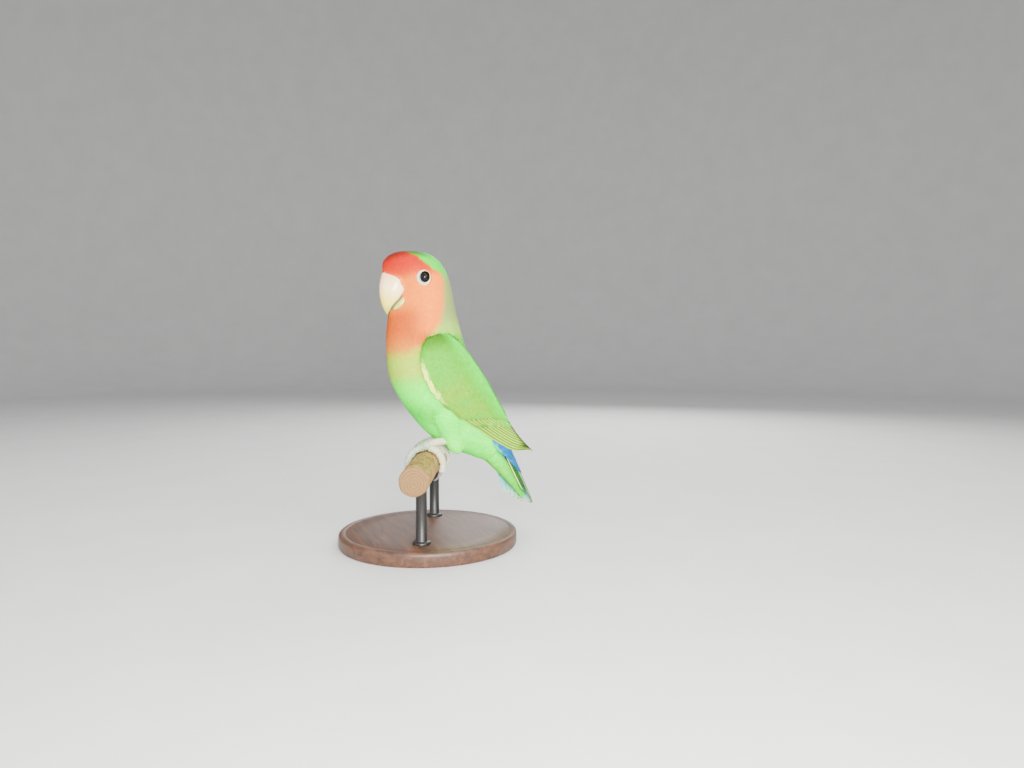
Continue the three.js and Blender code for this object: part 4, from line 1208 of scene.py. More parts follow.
def wing_coat(name, side):
    """Small coverts of one wing, scattered and laid along it."""
    flip = np.array([side, 1, 1])
    seed = 61

    def spacing(p):
        return 0.64 + 0.3 * smooth(112, 80, p[:, 2])

    along, across, p, _ = scatter(wing_base, lambda a: np.zeros((len(a), 3)), 0.0, 0.76, spacing, seed,
                                  grid=(120, 60), span=(0.0, 1.0))
    keep = along < slanted(SMALL_COVERT_END, across)
    along, across, p = along[keep], across[keep], p[keep]
    normal = wing_normal(along, across)
    edge = np.minimum(across, 1 - across)
    turn = smooth(0.06, 0.0, edge)[:, None]
    outward = np.where((across < 0.5)[:, None], 1.0, -1.0) * unit(leading_edge(along) - trailing_edge(along))
    normal = unit(normal * (1 - 0.6 * turn) + outward * turn * 0.8)
    draw = np.random.default_rng(seed + 1)
    gap = spacing(p)
    length = gap * 4.8 * draw.uniform(0.85, 1.15, len(p))
    lead, trail = (np.linalg.norm(rail(along + 0.01) - rail(along - 0.01), axis=-1) * 50
                   for rail in (leading_edge, trailing_edge))
    speed = lead * (1 - across) + trail * across
    ahead = along + length / np.maximum(speed, 20)
    drift = np.clip(across + draw.normal(0, 0.008, len(p)), 0, 1)
    tip_normal = wing_normal(ahead, drift)
    tip_normal = unit(tip_normal * (1 - 0.6 * turn) + outward * turn * 0.8)
    lift = 0.28 + 0.3 * smooth(0.3, 0.45, along)
    tip = wing_base(ahead, drift) + tip_normal * (lift + draw.normal(0, 0.03, len(p)))[:, None]
    root = p + normal * (lift - ROOT_DEPTH - 0.12)[:, None]
    tint = wing_marking(along + 0.02, across, p) * draw.normal(1, 0.045, (len(p), 1))
    tint = blend(tint, VANE_DARK, (draw.random(len(p)) < 0.1) * 0.12)
    place = on_map(across, along / 0.8)
    coat = Coat("coat_wing_" + name, plume)
    coat.add(BODY_VANE, root * flip, normal * flip, tip * flip, tip_normal * flip, gap * 2.2, tint, place,
             edge=0.06, seed=seed + 2)
    return coat


def wing_plate(name, side):
    """The arm and hand under the coverts, as one closed plate."""
    across = np.linspace(0, 1, 22)[None] + np.zeros((60, 1))
    along = np.linspace(0, 1, 60)[:, None] * slanted(ARM_END, across)
    swell = np.sin(np.pi * np.clip(across, 0.08, 0.92))
    taper = np.minimum(1, 0.35 + along * 6)
    depth = 2.2 * taper * (0.4 + 0.6 * swell)
    sink = 0.45 + 0.25 * np.minimum(1, along * 6)
    over = wing_point(along, across, -np.minimum(sink, depth * 0.5))
    points, tris = grid_solid(over, wing_point(along, across, -depth))
    if side == RIGHT:
        points = points * MIRROR
        tris = tris[:, ::-1]
    obj = make_object("wing_" + name, points, tris)
    tint = wing_marking(along.ravel(), across.ravel(), np.abs(points[:along.size])) * 0.7
    add_colours(obj, np.vstack([tint, np.full_like(tint, BREAST * 0.9)]))
    finish_piece(obj, bare_skin)
    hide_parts("wing_coverts_" + name)


PRIMARIES, PRIMARY_STEP = 9, 1.42
SECONDARIES, SECONDARY_STEP = 5, 2.0
FLIGHT_ROOT = 0.5
FLIGHT_TIP = 0.07  # share of the wing along which a feather bends in behind the next


def long_tip(t):
    """Outline of a long feather: narrow at its root and rounded at its end."""
    root = 0.55 + 0.45 * np.minimum(1, t * 3)
    return root * np.sqrt(np.clip(1 - np.clip((t - 0.8) / 0.205, 0, 1) ** 2.4, 0.01, 1))


def flight_coat(name, side):
    coat = LongCoat("flight_" + name, long_finish, ("wing_flight_" + name,))
    total = PRIMARIES + SECONDARIES
    for k in range(total):
        primary = k < PRIMARIES
        step = PRIMARY_STEP if primary else SECONDARY_STEP
        distance = k * step if primary else PRIMARIES * PRIMARY_STEP + (k - PRIMARIES) * step
        overlap = step * (2.4 if primary else 2.0)
        drop = 0.3 if k == total - 1 else 0.756
        bend = 1 - FLIGHT_TIP
        while bend > FLIGHT_ROOT and wing_span(np.array(bend)) < distance + 1.2:
            bend -= 0.002
        tip = bend + FLIGHT_TIP
        root = FLIGHT_ROOT - 0.01

        def place(t, u, h):
            along = root + (tip - root) * t
            span = wing_span(along)
            upper = np.minimum(distance + overlap, span)
            rounding = np.clip((along - bend + 0.02) / (tip - bend + 0.02), 0, 1) ** 1.5
            lower = np.minimum(distance, np.maximum(span - 0.8, 0))
            lower = lower + (np.maximum(span - 0.3, 0) - lower) * rounding
            v = (u + 1) / 2
            mm = lower + (upper - lower) * v
            bow = 0.1 * np.sin(np.pi * v)
            rise = 0.14 - drop * (upper - lower) / overlap * v + bow + 0.12 * smooth(0.9, 1, t)
            return wing_point(along, np.clip(mm / span, 0, 1), rise + h)

        def tint(t, u, top):
            v = (u + 1) / 2
            base = blend(WING_GREEN, VANE_OLIVE, smooth(0.3, 0.6, t))
            if not primary:
                base = blend(base, WING_BACK, 0.55 * (1 - 0.5 * t))
            inner = smooth(0.2, 0.4, v) * smooth(0.15, 0.4, t)
            rgb = blend(base, VANE_DARK, inner * (0.8 if primary else 0.66))
            rim = smooth(0.15, 0.07, v) * smooth(0.1, 0.3, t)
            rgb = blend(rgb, VANE_RIM, rim * 0.9)
            rgb = blend(rgb, VANE_DARK, smooth(0.8, 0.9, t) * (0.94 if k > 1 else 0.5))
            if not primary:
                rgb = blend(rgb, VANE_DARK, smooth(0.5, 0.75, t) * 0.8)
            if not top:
                rgb = rgb * 0.5 + colour(70, 90, 70) * 0.5
            return rgb * (1 + 0.05 * math.sin(k * 2.3))

        patch = (0.03 + 0.94 * (k + 0.5) / total, 0.5, 0.04, 0.9)
        coat.add(place, tint, rows=30, columns=7, thick=0.3, patch=patch, seed=100 + k, fray=0.02,
                 flip=side == RIGHT)
    return coat


def covert_coat(name, side):
    """Greater and median coverts of one wing."""
    coat = LongCoat("coverts_" + name, vane_finish)
    tiers = [
        # tips, roots, count, lift
        ((0.68, 0.84), (0.44, 0.55), 17, 0.3),
        ((0.63, 0.78), (0.4, 0.5), 16, 0.42),
    ]
    for row, (tips, roots, count, lift) in enumerate(tiers):
        pitch = 1 / count
        for k in range(count):
            draw = np.random.default_rng(200 + 20 * row + k)
            middle = (k + 0.5 + draw.uniform(-0.12, 0.12)) * pitch
            shift = draw.uniform(-0.006, 0.006)

            def place(t, u, h):
                low = slanted(roots, middle)
                high = slanted(tips, middle) + shift
                along = low + (high - low) * t
                across = np.clip(middle + u * pitch * 0.72, 0, 1)
                rise = lift * t**0.7 - 0.2 - 0.2 * (u + 1) / 2 + 0.14 * (1 - u * u)
                return wing_point(along, across, rise + h)

            def tint(t, u, top):
                low = slanted(roots, middle)
                along = low + (slanted(tips, middle) - low) * t
                p = wing_base(along, np.clip(middle + 0 * u, 0, 1)).reshape(-1, 3)
                rgb = wing_marking(along.ravel(), np.full(along.size, middle), p).reshape(*along.shape, 3)
                rgb = blend(rgb, VANE_RIM, smooth(-0.75, -0.95, u) * 0.35)
                rgb = blend(rgb, VANE_DARK, smooth(0.1, 0.5, u) * 0.3)
                return rgb * (1 + 0.07 * math.sin(k * 1.9 + row))

            patch = (0.02 + 0.96 * middle, 0.2 + 0.25 * row, 4 * BAKE_PATCH, 4 * BAKE_PATCH)
            coat.add(place, tint, rows=14, columns=7, thick=0.25, patch=patch, half=long_tip,
                     seed=300 + 20 * row + k, flip=side == RIGHT)
    return coat


for name, side in SIDES:
    wing_plate(name, side)
    wing_coat(name, side).build()
    covert_coat(name, side).build()
    flight_coat(name, side).build()


# Tail
def tail_point(distance, across, height):
    distance, across, height = together(distance, across, height)
    opening = np.minimum(1, np.maximum(distance, 0) / TAIL_OPEN)
    opened = 0.62 + 0.38 * opening
    arch = math.pi / 2 * across
    aside = np.sin(arch) * (TAIL_HALF * opened + height)
    rise = (np.cos(arch) - 1) * TAIL_SAG * opened + height * np.cos(arch) + TAIL_SAG / 2
    roll = TAIL_ROLL * opening
    p = TAIL_ROOT + tail_along * distance[..., None]
    p = p + tail_up * (rise * np.cos(roll) + aside * np.sin(roll) - TAIL_SAG / 2)[..., None]
    p[..., 0] += aside * np.cos(roll) - rise * np.sin(roll)
    return p


TAIL_GREEN = colour(60, 180, 44)
TAIL_TEAL = colour(2, 126, 100)
TAIL_UNDER = colour(110, 190, 190)
TAIL_YELLOW = colour(214, 238, 124)
TAIL_DARK = colour(18, 24, 16)

tail = LongCoat("tail_vanes", long_finish, ("tail_feathers",))
TAIL_LENGTHS = (49.6, 47.6, 45.2, 42.6, 40, 37.4)
for side_index, (_, side) in enumerate(SIDES):
    for k, length in enumerate(TAIL_LENGTHS):
        edge = 0.42 + 0.115 * k
        inner = -0.14 if k == 0 else edge - 0.3
        level = (0.2 if side == LEFT else -0.15) if k == 0 else -0.75
        seed = 400 + 10 * side_index + k
        reach = length + np.random.default_rng(seed).normal(0, 0.3)

        def place(t, u, h):
            v = (u + 1) / 2
            rounding = np.clip((t - 0.84) / 0.16, 0, 1) ** 2
            middle = 0 if k == 0 else inner * 0.5 + edge * 0.5
            near = inner + (middle - inner) * 0.85 * rounding
            far = edge + (middle - edge) * 0.85 * rounding
            across = side * (near + (far - near) * v) * (1 if side == LEFT else 1 + 0.16 * t)
            rise = level + (0.05 - level) * v + 0.12 * np.sin(np.pi * v)
            return tail_point(reach * t, across, rise + h)

        def tint(t, u, top):
            v = (u + 1) / 2
            if not top:
                rgb = blend(TAIL_UNDER, TAIL_YELLOW, smooth(0.85, 1, t) * 0.5)
                return rgb * (1 - 0.35 * smooth(0.5, 0, v))[..., None]
            rgb = blend(TAIL_GREEN, TAIL_TEAL, smooth(0.6, 0.9, t))
            if k == 0:
                return blend(rgb, TAIL_YELLOW, smooth(0.9, 0.98, v) * 0.7)
            rgb = blend(rgb, TAIL_DARK, smooth(0.3, 0.5, v) * 0.9)
            rim = TAIL_YELLOW if k in (2, 5) else TAIL_GREEN * 0.35
            rgb = blend(rgb, rim, smooth(0.84, 0.9, v) * 0.95)
            return blend(rgb, TAIL_TEAL, smooth(0.9, 0.97, t) * 0.9)

        patch = (0.03 + 0.94 * (k + 0.5 + 6 * side_index) / 12, 0.5, 0.05, 0.9)
        tail.add(place, tint, rows=26, columns=9, thick=0.3, patch=patch, seed=seed, fray=0.025)
tail.build()

# Blue coverts over the tail's root
saddle = LongCoat("tail_saddle", bare_skin, ("upper_tail_coverts",))


def saddle_place(t, u, h):
    return tail_point(2 + 18 * t, u * (0.8 - 0.25 * t), 0.3 + h)


def saddle_tint(t, u, top):
    return np.broadcast_to(RUMP * 0.6, (*t.shape, 3))


saddle.add(saddle_place, saddle_tint, rows=14, columns=13, thick=0.8, patch=(0.5, 0.5, 0.9, 0.9))
saddle.build()

blue = Coat("coat_rump", plume)
RUMP_TIP = colour(3, 104, 158)
RUMP_FORM = [
    # distance along the tail, half width, sag, degrees to either side
    (-3, 8.9, 11, 88),
    (3, 8.7, 10.5, 90),
    (9, 8.3, 9.5, 88),
    (13, 8, 8.6, 78),
    (19, 7.8, 8.2, 68),
    (25, 8, 8.3, 56),
    (30, 8.2, 8.4, 30),
]
rump_reads = readings(RUMP_FORM)
RUMP_SEED = 71


def rump_point(a, b, lift=0.9):
    """A point over the tail's root: a along it, b from -1 to 1 across."""
    a, b = together(a, b)
    distance, half, sag, reach = (read(a) for read in rump_reads)
    turn = np.radians(reach) * b
    aside = np.sin(turn) * (half + lift)
    rise = (np.cos(turn) - 1) * sag + np.cos(turn) * lift
    roll = TAIL_ROLL * np.clip(distance / TAIL_OPEN, 0, 1)
    up = (rise + TAIL_SAG / 2) * np.cos(roll) + aside * np.sin(roll) - TAIL_SAG / 2
    p = TAIL_ROOT + tail_along * distance[..., None] + tail_up * up[..., None]
    p[..., 0] += aside * np.cos(roll) - (rise + TAIL_SAG / 2) * np.sin(roll)
    return p


def rump_middle(a):
    return rump_point(a, 0) - tail_up * 9


def rump_vanes():
    a, b, p, normal = scatter(rump_point, rump_middle, 0.0, 0.78, lambda p: np.full(len(p), 0.72), RUMP_SEED,
                              grid=(60, 60), span=(-1.0, 1.0))
    draw = np.random.default_rng(RUMP_SEED + 1)
    length = 4.2 + 3.5 * a + draw.normal(0, 0.4, len(a))
    ahead = np.minimum(a + length / 33, 1 - 0.1 * b**2 - 0.07 * draw.random(len(a)))
    spread = b + draw.normal(0, 0.02, len(a))
    tip = rump_point(ahead, spread, 0.85 + draw.normal(0, 0.04, len(a)) - 0.3 * ahead)
    tip_normal = surface_normal(rump_point, np.minimum(ahead, 0.99), b, rump_middle)
    tint = blend(RUMP, RUMP_TIP, smooth(-0.6, 0.8, blotches(p, 6, RUMP_SEED + 3)) * 0.7)
    tint = blend(tint, VENT, smooth(0.92, 1.0, np.abs(b)) * smooth(0.3, 0.15, a) * 0.4)
    tint = tint * draw.normal(1, 0.06, (len(a), 1))
    place = np.stack([0.5 + 0.48 * b, 0.02 + 0.9 * a], -1)
    width = 1.9 * draw.uniform(0.85, 1.15, len(a))
    blue.add(LONG_VANE, p - normal * 0.5, normal, tip, tip_normal, width, tint, place, edge=0.08,
             seed=RUMP_SEED + 2)


rump_vanes()
blue.build()

# Plume under the tail: y, z, half depth, half width
UNDER = [
    (33.2, 54, 8.2, 6.8),
    (39.2, 47.6, 6.4, 6.2),
    (44.8, 41, 4.8, 5.2),
    (50, 34.2, 3.6, 4.2),
    (54.8, 27.4, 2.4, 3),
    (59, 21, 0.7, 0.9),
]
under_reads = readings(UNDER)
UNDER_SEED = 81


def under_point(along, degrees, height=0.0):
    along, degrees, height = together(along, degrees, height)
    y, z, depth, width = (read(along) for read in under_reads)
    angle = np.radians(degrees)
    p = np.stack([np.sin(angle) * (width + height), y, z], -1)
    return p + tail_up * (-np.cos(angle) * (depth + height))[..., None]


def under_centre(along):
    return np.stack([0 * along, under_reads[0](along), under_reads[1](along)], -1)


core = under_point(np.linspace(0, 0.84, 24)[:, None], np.arange(0, 360, 12)[None], -0.9)
plume_core = make_object("plume_core", *rings_mesh(core))
add_colours(plume_core, VENT * 0.7)
finish_piece(plume_core, bare_skin)
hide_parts("under_tail_coverts")
under_coat = Coat("coat_undertail", plume)
PLUME_GREEN = colour(70, 200, 40)


def under_spacing(p):
    return 0.7 + 0.12 * smooth(50, 30, p[:, 2])


def under_vanes():
    a, b, p, normal = scatter(under_point, under_centre, 0.0, 0.86, under_spacing, UNDER_SEED,
                              grid=(60, 60), span=(-115, 115))
    draw = np.random.default_rng(UNDER_SEED + 1)
    length = 4.5 + 5 * a + draw.normal(0, 0.4, len(a))
    ahead = np.minimum(a + length / 43, 1.0)
    spread = b + draw.normal(0, 3, len(a))
    sunk = 0.6 * smooth(0.3, 0.05, a)
    tip = under_point(ahead, spread, 0.05 - sunk + draw.normal(0, 0.05, len(a)))
    tip_normal = unit(under_point(ahead, spread, 1.0) - under_point(ahead, spread, 0.0))
    tint = blend(VENT, PLUME_GREEN, smooth(0.05, 0.3, a))
    tint = blend(tint, BREAST, smooth(0.1, 0.9, blotches(p, 8, 9)) * 0.5)
    tint = tint * draw.normal(1, 0.04, (len(a), 1))
    place = np.stack([0.5 + b / 260, 0.02 + 0.96 * a], -1)
    under_coat.add(LONG_VANE, p - normal * (0.35 + sunk)[:, None], normal, tip, tip_normal, 2.2 + 0.6 * a,
                   tint, place, seed=UNDER_SEED + 2)


under_vanes()
under_coat.build()


# Perch, and places round it
PERCH_YAW = math.radians(-24)
PERCH_RADIUS, PERCH_HEIGHT = 7.5, 46.0
PERCH_NEAR, PERCH_FAR = 62.0, 44.0
perch_axis = np.array([math.cos(PERCH_YAW), math.sin(PERCH_YAW), 0])
perch_back = np.array([-math.sin(PERCH_YAW), math.cos(PERCH_YAW), 0])
UP = np.array([0, 0, 1.0])


def round_perch(degrees, radius, along):
    """A point round the dowel: 0 behind it, 90 on top, 180 before it."""
    degrees, radius, along = together(degrees, radius, along)
    angle = np.radians(degrees)[..., None]
    radius, along = radius[..., None], along[..., None]
    return (UP * PERCH_HEIGHT + perch_axis * along + perch_back * radius * np.cos(angle)
            + UP * radius * np.sin(angle))


def turned(name, start, axis, profile, sides, rough=None):
    """A form turned about an axis, from pairs of a radius and a height along the axis from start.

    rough(angle, height, radius) is added to the radius."""
    axis = unit(np.asarray(axis, float))
    guess = np.array([1.0, 0, 0]) if abs(axis[2]) > 0.8 else UP
    a = unit(np.cross(axis, guess))
    b = np.cross(axis, a)
    angle = turns(sides)
    ring = a * np.cos(angle)[:, None] + b * np.sin(angle)[:, None]
    rings = []
    for radius, height in profile:
        r = np.full(sides, max(radius, 1e-3))
        if rough is not None:
            r = r + rough(angle, height, radius)
        rings.append(np.asarray(start) + axis * height + ring * r[:, None])
    return make_object(name, *rings_mesh(rings))


def arc(centre, half, low, high, steps):
    """A profile's points along an arc, from its centre, half sizes and first and last degrees."""
    turn = np.radians(np.linspace(low, high, steps))
    return list(zip(centre[0] + half[0] * np.cos(turn), centre[1] + half[1] * np.sin(turn)))


def rounded_bar(radius, length, corner, steps):
    """A bar's profile with rounded corners, in so many steps along it."""
    side = [(radius, corner + (length - 2 * corner) * (i + 1) / steps) for i in range(steps - 1)]
    return [
        (radius * 0.3, 0), (radius * 0.6, 0), *arc((radius - corner, corner), (corner, corner), -90, 0, 5),
        *side, *arc((radius - corner, length - corner), (corner, corner), 0, 90, 5),
        (radius * 0.6, length), (radius * 0.3, length),
    ]


# Feet: a shank, a pad and four toes fused into one scaly form
FOOT_SPREAD = 10.4
GRIP_RADIUS = PERCH_RADIUS + 0.3  # of the skin that lies on the dowel
TARSUS_RADIUS = 2.3
CLAW_RADIUS, CLAW_LENGTH = 1.05, 5.6
SCUTE_LENGTH, PAD_LENGTH = 1.45, 3.4
TOES = [
    # name, start and end angle round the dowel, root and splay along it, radius
    ("front_inner", 100, 166, -2.15, -3.5, 1.85),
    ("front_outer", 100, 188, 2.2, 3.8, 2.05),
    ("hind_inner", 76, 22, -2.15, -3.3, 1.75),
    ("hind_outer", 76, -22, 2.2, 3.6, 2.0),
]


def toe_points(toe, side, start, end, reach):
    _, toe_start, toe_end, root, splay, _ = toe
    share = np.linspace(0, 1, 5)
    angle = start + (end - start) * share
    passed = (angle - toe_start) / (toe_end - toe_start)
    along = side * (FOOT_SPREAD + root + (splay - root) * passed)
    return round_perch(angle, GRIP_RADIUS + reach(share), along)


def tarsus_surface(name, side):
    ankle = ANKLE[name]
    r = TARSUS_RADIUS
    pad = round_perch(88, GRIP_RADIUS + r * 1.12, side * FOOT_SPREAD)
    middle = ankle + (pad - ankle) * 0.5 + np.array([0, 0, 0.7])
    front = round_perch(104, GRIP_RADIUS + r * 0.95, side * FOOT_SPREAD)
    return tube_point([ankle, middle, pad, front], [r, r * 0.95, r * 1.12, r * 0.8])


def toe_surface(toe, side):
    radius = toe[5]
    points = toe_points(toe, side, toe[1], toe[2], lambda share: radius * (1.05 - 0.2 * share))
    return tube_point(points, [k * radius for k in (1.05, 0.92, 1.04, 0.88, 0.8)])


def claw_surface(toe, side):
    radius, way = CLAW_RADIUS, math.copysign(1, toe[2] - toe[1])
    sweep = math.degrees(CLAW_LENGTH / (PERCH_RADIUS + 1))
    start = toe[2] + way * math.degrees(0.3 / (PERCH_RADIUS + toe[5]))

    def reach(share):
        return radius + 0.15 + 0.6 * np.sin(np.pi * share * 0.8)

    longer = (*toe[:2], start + way * sweep, *toe[3:])
    points = toe_points(longer, side, start, start + way * sweep, reach)
    return tube_point(points, [radius, radius * 0.85, radius * 0.62, radius * 0.4, 0.22])


def nearest_on_lines(points, lines):
    """For each point: the nearest line and the distance along it."""
    samples, index, reach = [], [], []
    for k, at in enumerate(lines):
        line = at.line(np.linspace(0, 1, 80))
        run = np.concatenate([[0], np.cumsum(np.linalg.norm(np.diff(line, axis=0), axis=1))])
        samples.append(line)
        index += [k] * len(line)
        reach.append(run)
    samples, index, reach = np.vstack(samples), np.array(index), np.concatenate(reach)
    best = np.empty(len(points), int)
    for start in range(0, len(points), 4000):
        part = points[start:start + 4000]
        gap = np.linalg.norm(part[:, None] - samples[None], axis=-1)
        best[start:start + 4000] = np.argmin(gap, axis=1)
    return index[best], reach[best]


SKIN_SCALE = colour(172, 192, 162)
SKIN_CREAM = colour(238, 226, 178)
SKIN_GROOVE = colour(74, 76, 66)

g = Graph("scaly_skin")
cells = g.node("ShaderNodeTexVoronoi", {"Vector": g.place(), "Scale": 1750.0},
               feature="DISTANCE_TO_EDGE")
edges = g.between(cells.outputs["Distance"], 0.0, 0.16)
grain = g.noise(2500, 3, 0.6)
foot_base = g.speckled(g.attribute("tint"), g.math("SUBTRACT", 1.0, edges), 0.5, SKIN_GROOVE)
foot_base = g.speckled(foot_base, grain, 0.2, colour(206, 204, 186))
foot_normal = g.bump(edges, 0.6, 0.00012)
foot_normal = g.bump(grain, 0.3, 0.00006, foot_normal)
scaly = g.set(base=foot_base, rough=0.55, normal=foot_normal, level=0.35)

g = Graph("claw")
streak = g.noise(900, 4, 0.6, vector=g.place((1, 1, 0.4)))
claw_base = g.ramp(streak, [(0.3, colour(92, 88, 80)), (0.7, colour(138, 132, 120))])
claw_finish = g.set(base=claw_base, rough=0.32, normal=g.bump(streak, 0.25, 0.0001), coat=0.3,
                    coat_rough=0.2)


def make_foot(name, side):
    """One foot and its claws. Scutes lie across the toes' tops and pads under them."""
    surfaces = [tarsus_surface(name, side)] + [toe_surface(toe, side) for toe in TOES]
    parts = [make_object(f"foot_part_{name}_{k}", *rings_mesh(tube_rings(at, 48, 28, grow=-0.12)))
             for k, at in enumerate(surfaces)]
    foot, co, normal = fused("foot_" + name, parts, voxel=0.24, smoothing=5)
    line, run = nearest_on_lines(co, surfaces)
    centre = round_perch(90, 0, side * FOOT_SPREAD)
    outward = co - centre
    outward -= dot(outward, perch_axis) * perch_axis
    top = np.sum(unit(outward) * normal, -1)
    uneven = run + 0.3 * np.sin(line * 2.1) + 0.35 * blotches(co, 3, 16)
    scute = np.abs(np.sin(np.pi * uneven / SCUTE_LENGTH))
    ridge = np.minimum(scute / 0.42, 1) ** 0.6
    upper = smooth(-0.1, 0.5, top)
    pads = 0.5 + 0.5 * np.cos(2 * np.pi * run / PAD_LENGTH)
    shift = (ridge - 0.85) * 0.42 * upper + (pads - 0.5) * 0.26 * (1 - upper)
    shift += 0.07 * blotches(co, 1.7, 17)
    co = co + normal * shift[:, None]
    foot.data.vertices.foreach_set("co", (co * MM).astype(np.float32).ravel())
    tint = blend(SKIN_GROOVE, SKIN_SCALE, 0.1 + 0.9 * np.where(upper > 0.5, ridge, 0.75))
    tint = blend(tint, SKIN_GROOVE, smooth(0.0, 0.8, blotches(co, 1.6, 19)) * 0.5)
    tint = blend(tint, SKIN_CREAM, smooth(0, 5, outward @ perch_back) * smooth(0.2, 0.8, ridge) * 0.6)
    add_colours(foot, tint * (1 + 0.06 * blotches(co, 2.5, 18))[:, None])
    finish_piece(foot, scaly)
    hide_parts("tarsus_" + name, *("toe_" + name + "_" + toe[0] for toe in TOES))
    for toe in TOES:
        claw = make_object(f"horn_{name}_{toe[0]}", *rings_mesh(tube_rings(claw_surface(toe, side), 28, 20)))
        finish_piece(claw, claw_finish)
        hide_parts(f"claw_{name}_{toe[0]}")


for name, side in SIDES:
    make_foot(name, side)

# Bill
BILL_ROSE = colour(238, 180, 130)
BILL_WHITE = colour(254, 222, 158)
BILL_CREAM = colour(236, 216, 58)
BILL_TIP = colour(150, 176, 30)
BILL_UNDER = colour(176, 176, 40)
# painted shade in the gape, under the upper bill's edge
BILL_GAPE_SHADE = colour(26, 28, 10)

g = Graph("bill")
growth = g.node("ShaderNodeTexWave", {"Vector": g.place((0.5, 1, 1)), "Scale": 260.0, "Distortion": 3.0,
                                      "Detail": 2.0, "Detail Scale": 1.5}, bands_direction="Z")
fibre = g.noise(700, 4, 0.6, vector=g.place((1, 1, 0.3)))
bill_base = g.speckled(g.attribute("tint"), fibre, 0.16, colour(196, 182, 140))
bill_base = g.speckled(bill_base, growth.outputs["Fac"], 0.1, colour(214, 196, 160))
bill_normal = g.bump(growth.outputs["Fac"], 0.1, 0.0001)
bill_normal = g.bump(fibre, 0.15, 0.0001, bill_normal)
horn = g.set(base=bill_base, rough=0.34, normal=bill_normal, coat=0.3, coat_rough=0.2, scatter=0.12,
             scatter_radius=(0.4, 0.3, 0.15), scatter_scale=0.002)
for index, (node, (points, tris)) in enumerate(bill_parts.items()):
    level = points[:, 2]
    if node == "upper_bill":
        tint = blend(BILL_TIP, BILL_CREAM, smooth(129, 135, level))
        tint = blend(tint, BILL_WHITE, smooth(133, 142, level + 0.3 * (points[:, 1] + 20)))
        tint = blend(tint, BILL_ROSE, smooth(144, 150, level - 0.5 * (points[:, 1] + 22)) * 0.8)
    else:
        tint = blend(colour(170, 170, 60), BILL_UNDER, smooth(129.5, 132.5, level))
    # painted shade along the gape: each half darkens near the other, the lower over a wider band under the
    # upper bill's edge
    other = bill_trees[1 - index]
    gap = np.array([other.find_nearest(Vector(p))[3] for p in points])
    gap = np.where(inside(other, points), 0, gap)
    reach = (0.45, 0.1) if node == "upper_bill" else (1.75, 1.15)
    tint = blend(tint, BILL_GAPE_SHADE, smooth(*reach, gap) * 0.95)
    piece = make_object("horn_" + node, points, tris)
    add_colours(piece, tint)
    finish_piece(piece, horn)
    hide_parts(node)

# Eyes and the bare ring round each
g = Graph("eye")
eye_cloud = g.noise(900, 3, 0.6)
eye_base = g.speckled(g.attribute("tint"), eye_cloud, 0.3, (0.004, 0.003, 0.003))
eye_finish = g.set(base=eye_base, rough=0.2, coat=0.4, coat_rough=0.02, level=0.02)
EYE_BLACK = colour(4, 4, 5)
EYE_BROWN = colour(12, 8, 6)
EYE_RIM = colour(44, 56, 64)

g = Graph("lid")
wrinkle = g.noise(1600, 4, 0.65)
lid_base = g.speckled(g.attribute("tint"), wrinkle, 0.35, colour(206, 200, 184))
lid_finish = g.set(base=lid_base, rough=0.55, normal=g.bump(wrinkle, 0.5, 0.00012), level=0.35)
LID_WHITE = colour(232, 204, 150)
LID_BLUE = colour(112, 140, 150)
LID_WARM = colour(232, 164, 92)
LID_MARGIN = colour(44, 48, 46)
OPENING_HALF = (2.6, 2.98)
OPENING_SHIFT = (0.12, 0.22)
OPENING_LEAN = math.radians(8)
LID_SECTION = [
    # share from the opening to the outer edge, height over the ball at the opening, or over its centre
    (0.0, -0.6, None), (-0.01, 0.1, None), (0.02, 0.34, None), (0.1, None, 2.56), (0.22, None, 2.72),
    (0.4, None, 2.74), (0.6, None, 2.64), (0.8, None, 2.4), (0.94, None, 2.05), (1.02, None, 1.6),
    (1.0, None, 0.9), (0.4, None, 0.7),
]


def make_eye(name, side):
    """The ball of one eye, bulging a little at its front."""
    centre, out, level, upright = eye_axes(side)
    rows, columns = 48, 64
    polar = np.linspace(0.02, math.pi - 0.02, rows)[:, None]
    turn = turns(columns)[None]
    radius = EYE_RADIUS * (1 + 0.04 * np.exp(-(polar / 0.55) ** 2))
    aside = level * np.cos(turn)[..., None] + upright * np.sin(turn)[..., None]
    way = out * np.cos(polar)[..., None] + aside * np.sin(polar)[..., None]
    ball = centre + way * radius[..., None]
    points, tris = rings_mesh(ball)
    eye = make_object("eyeball_" + name, points, tris)
    off = (points - centre) / EYE_RADIUS
    a, b = off @ level, off @ upright
    reach = np.hypot(a, b)
    facing = -(a * 0.8 + b * 0.6) / np.maximum(reach, 1e-3)
    tint = blend(EYE_BLACK, EYE_BROWN, smooth(0.42, 0.5, reach) * smooth(0.8, 0.6, reach))
    tint = blend(tint, EYE_RIM, smooth(0.62, 0.86, reach) * smooth(0.1, 0.9, facing) * 0.8)
    add_colours(eye, tint)
    finish_piece(eye, eye_finish)
    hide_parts("eye_" + name)


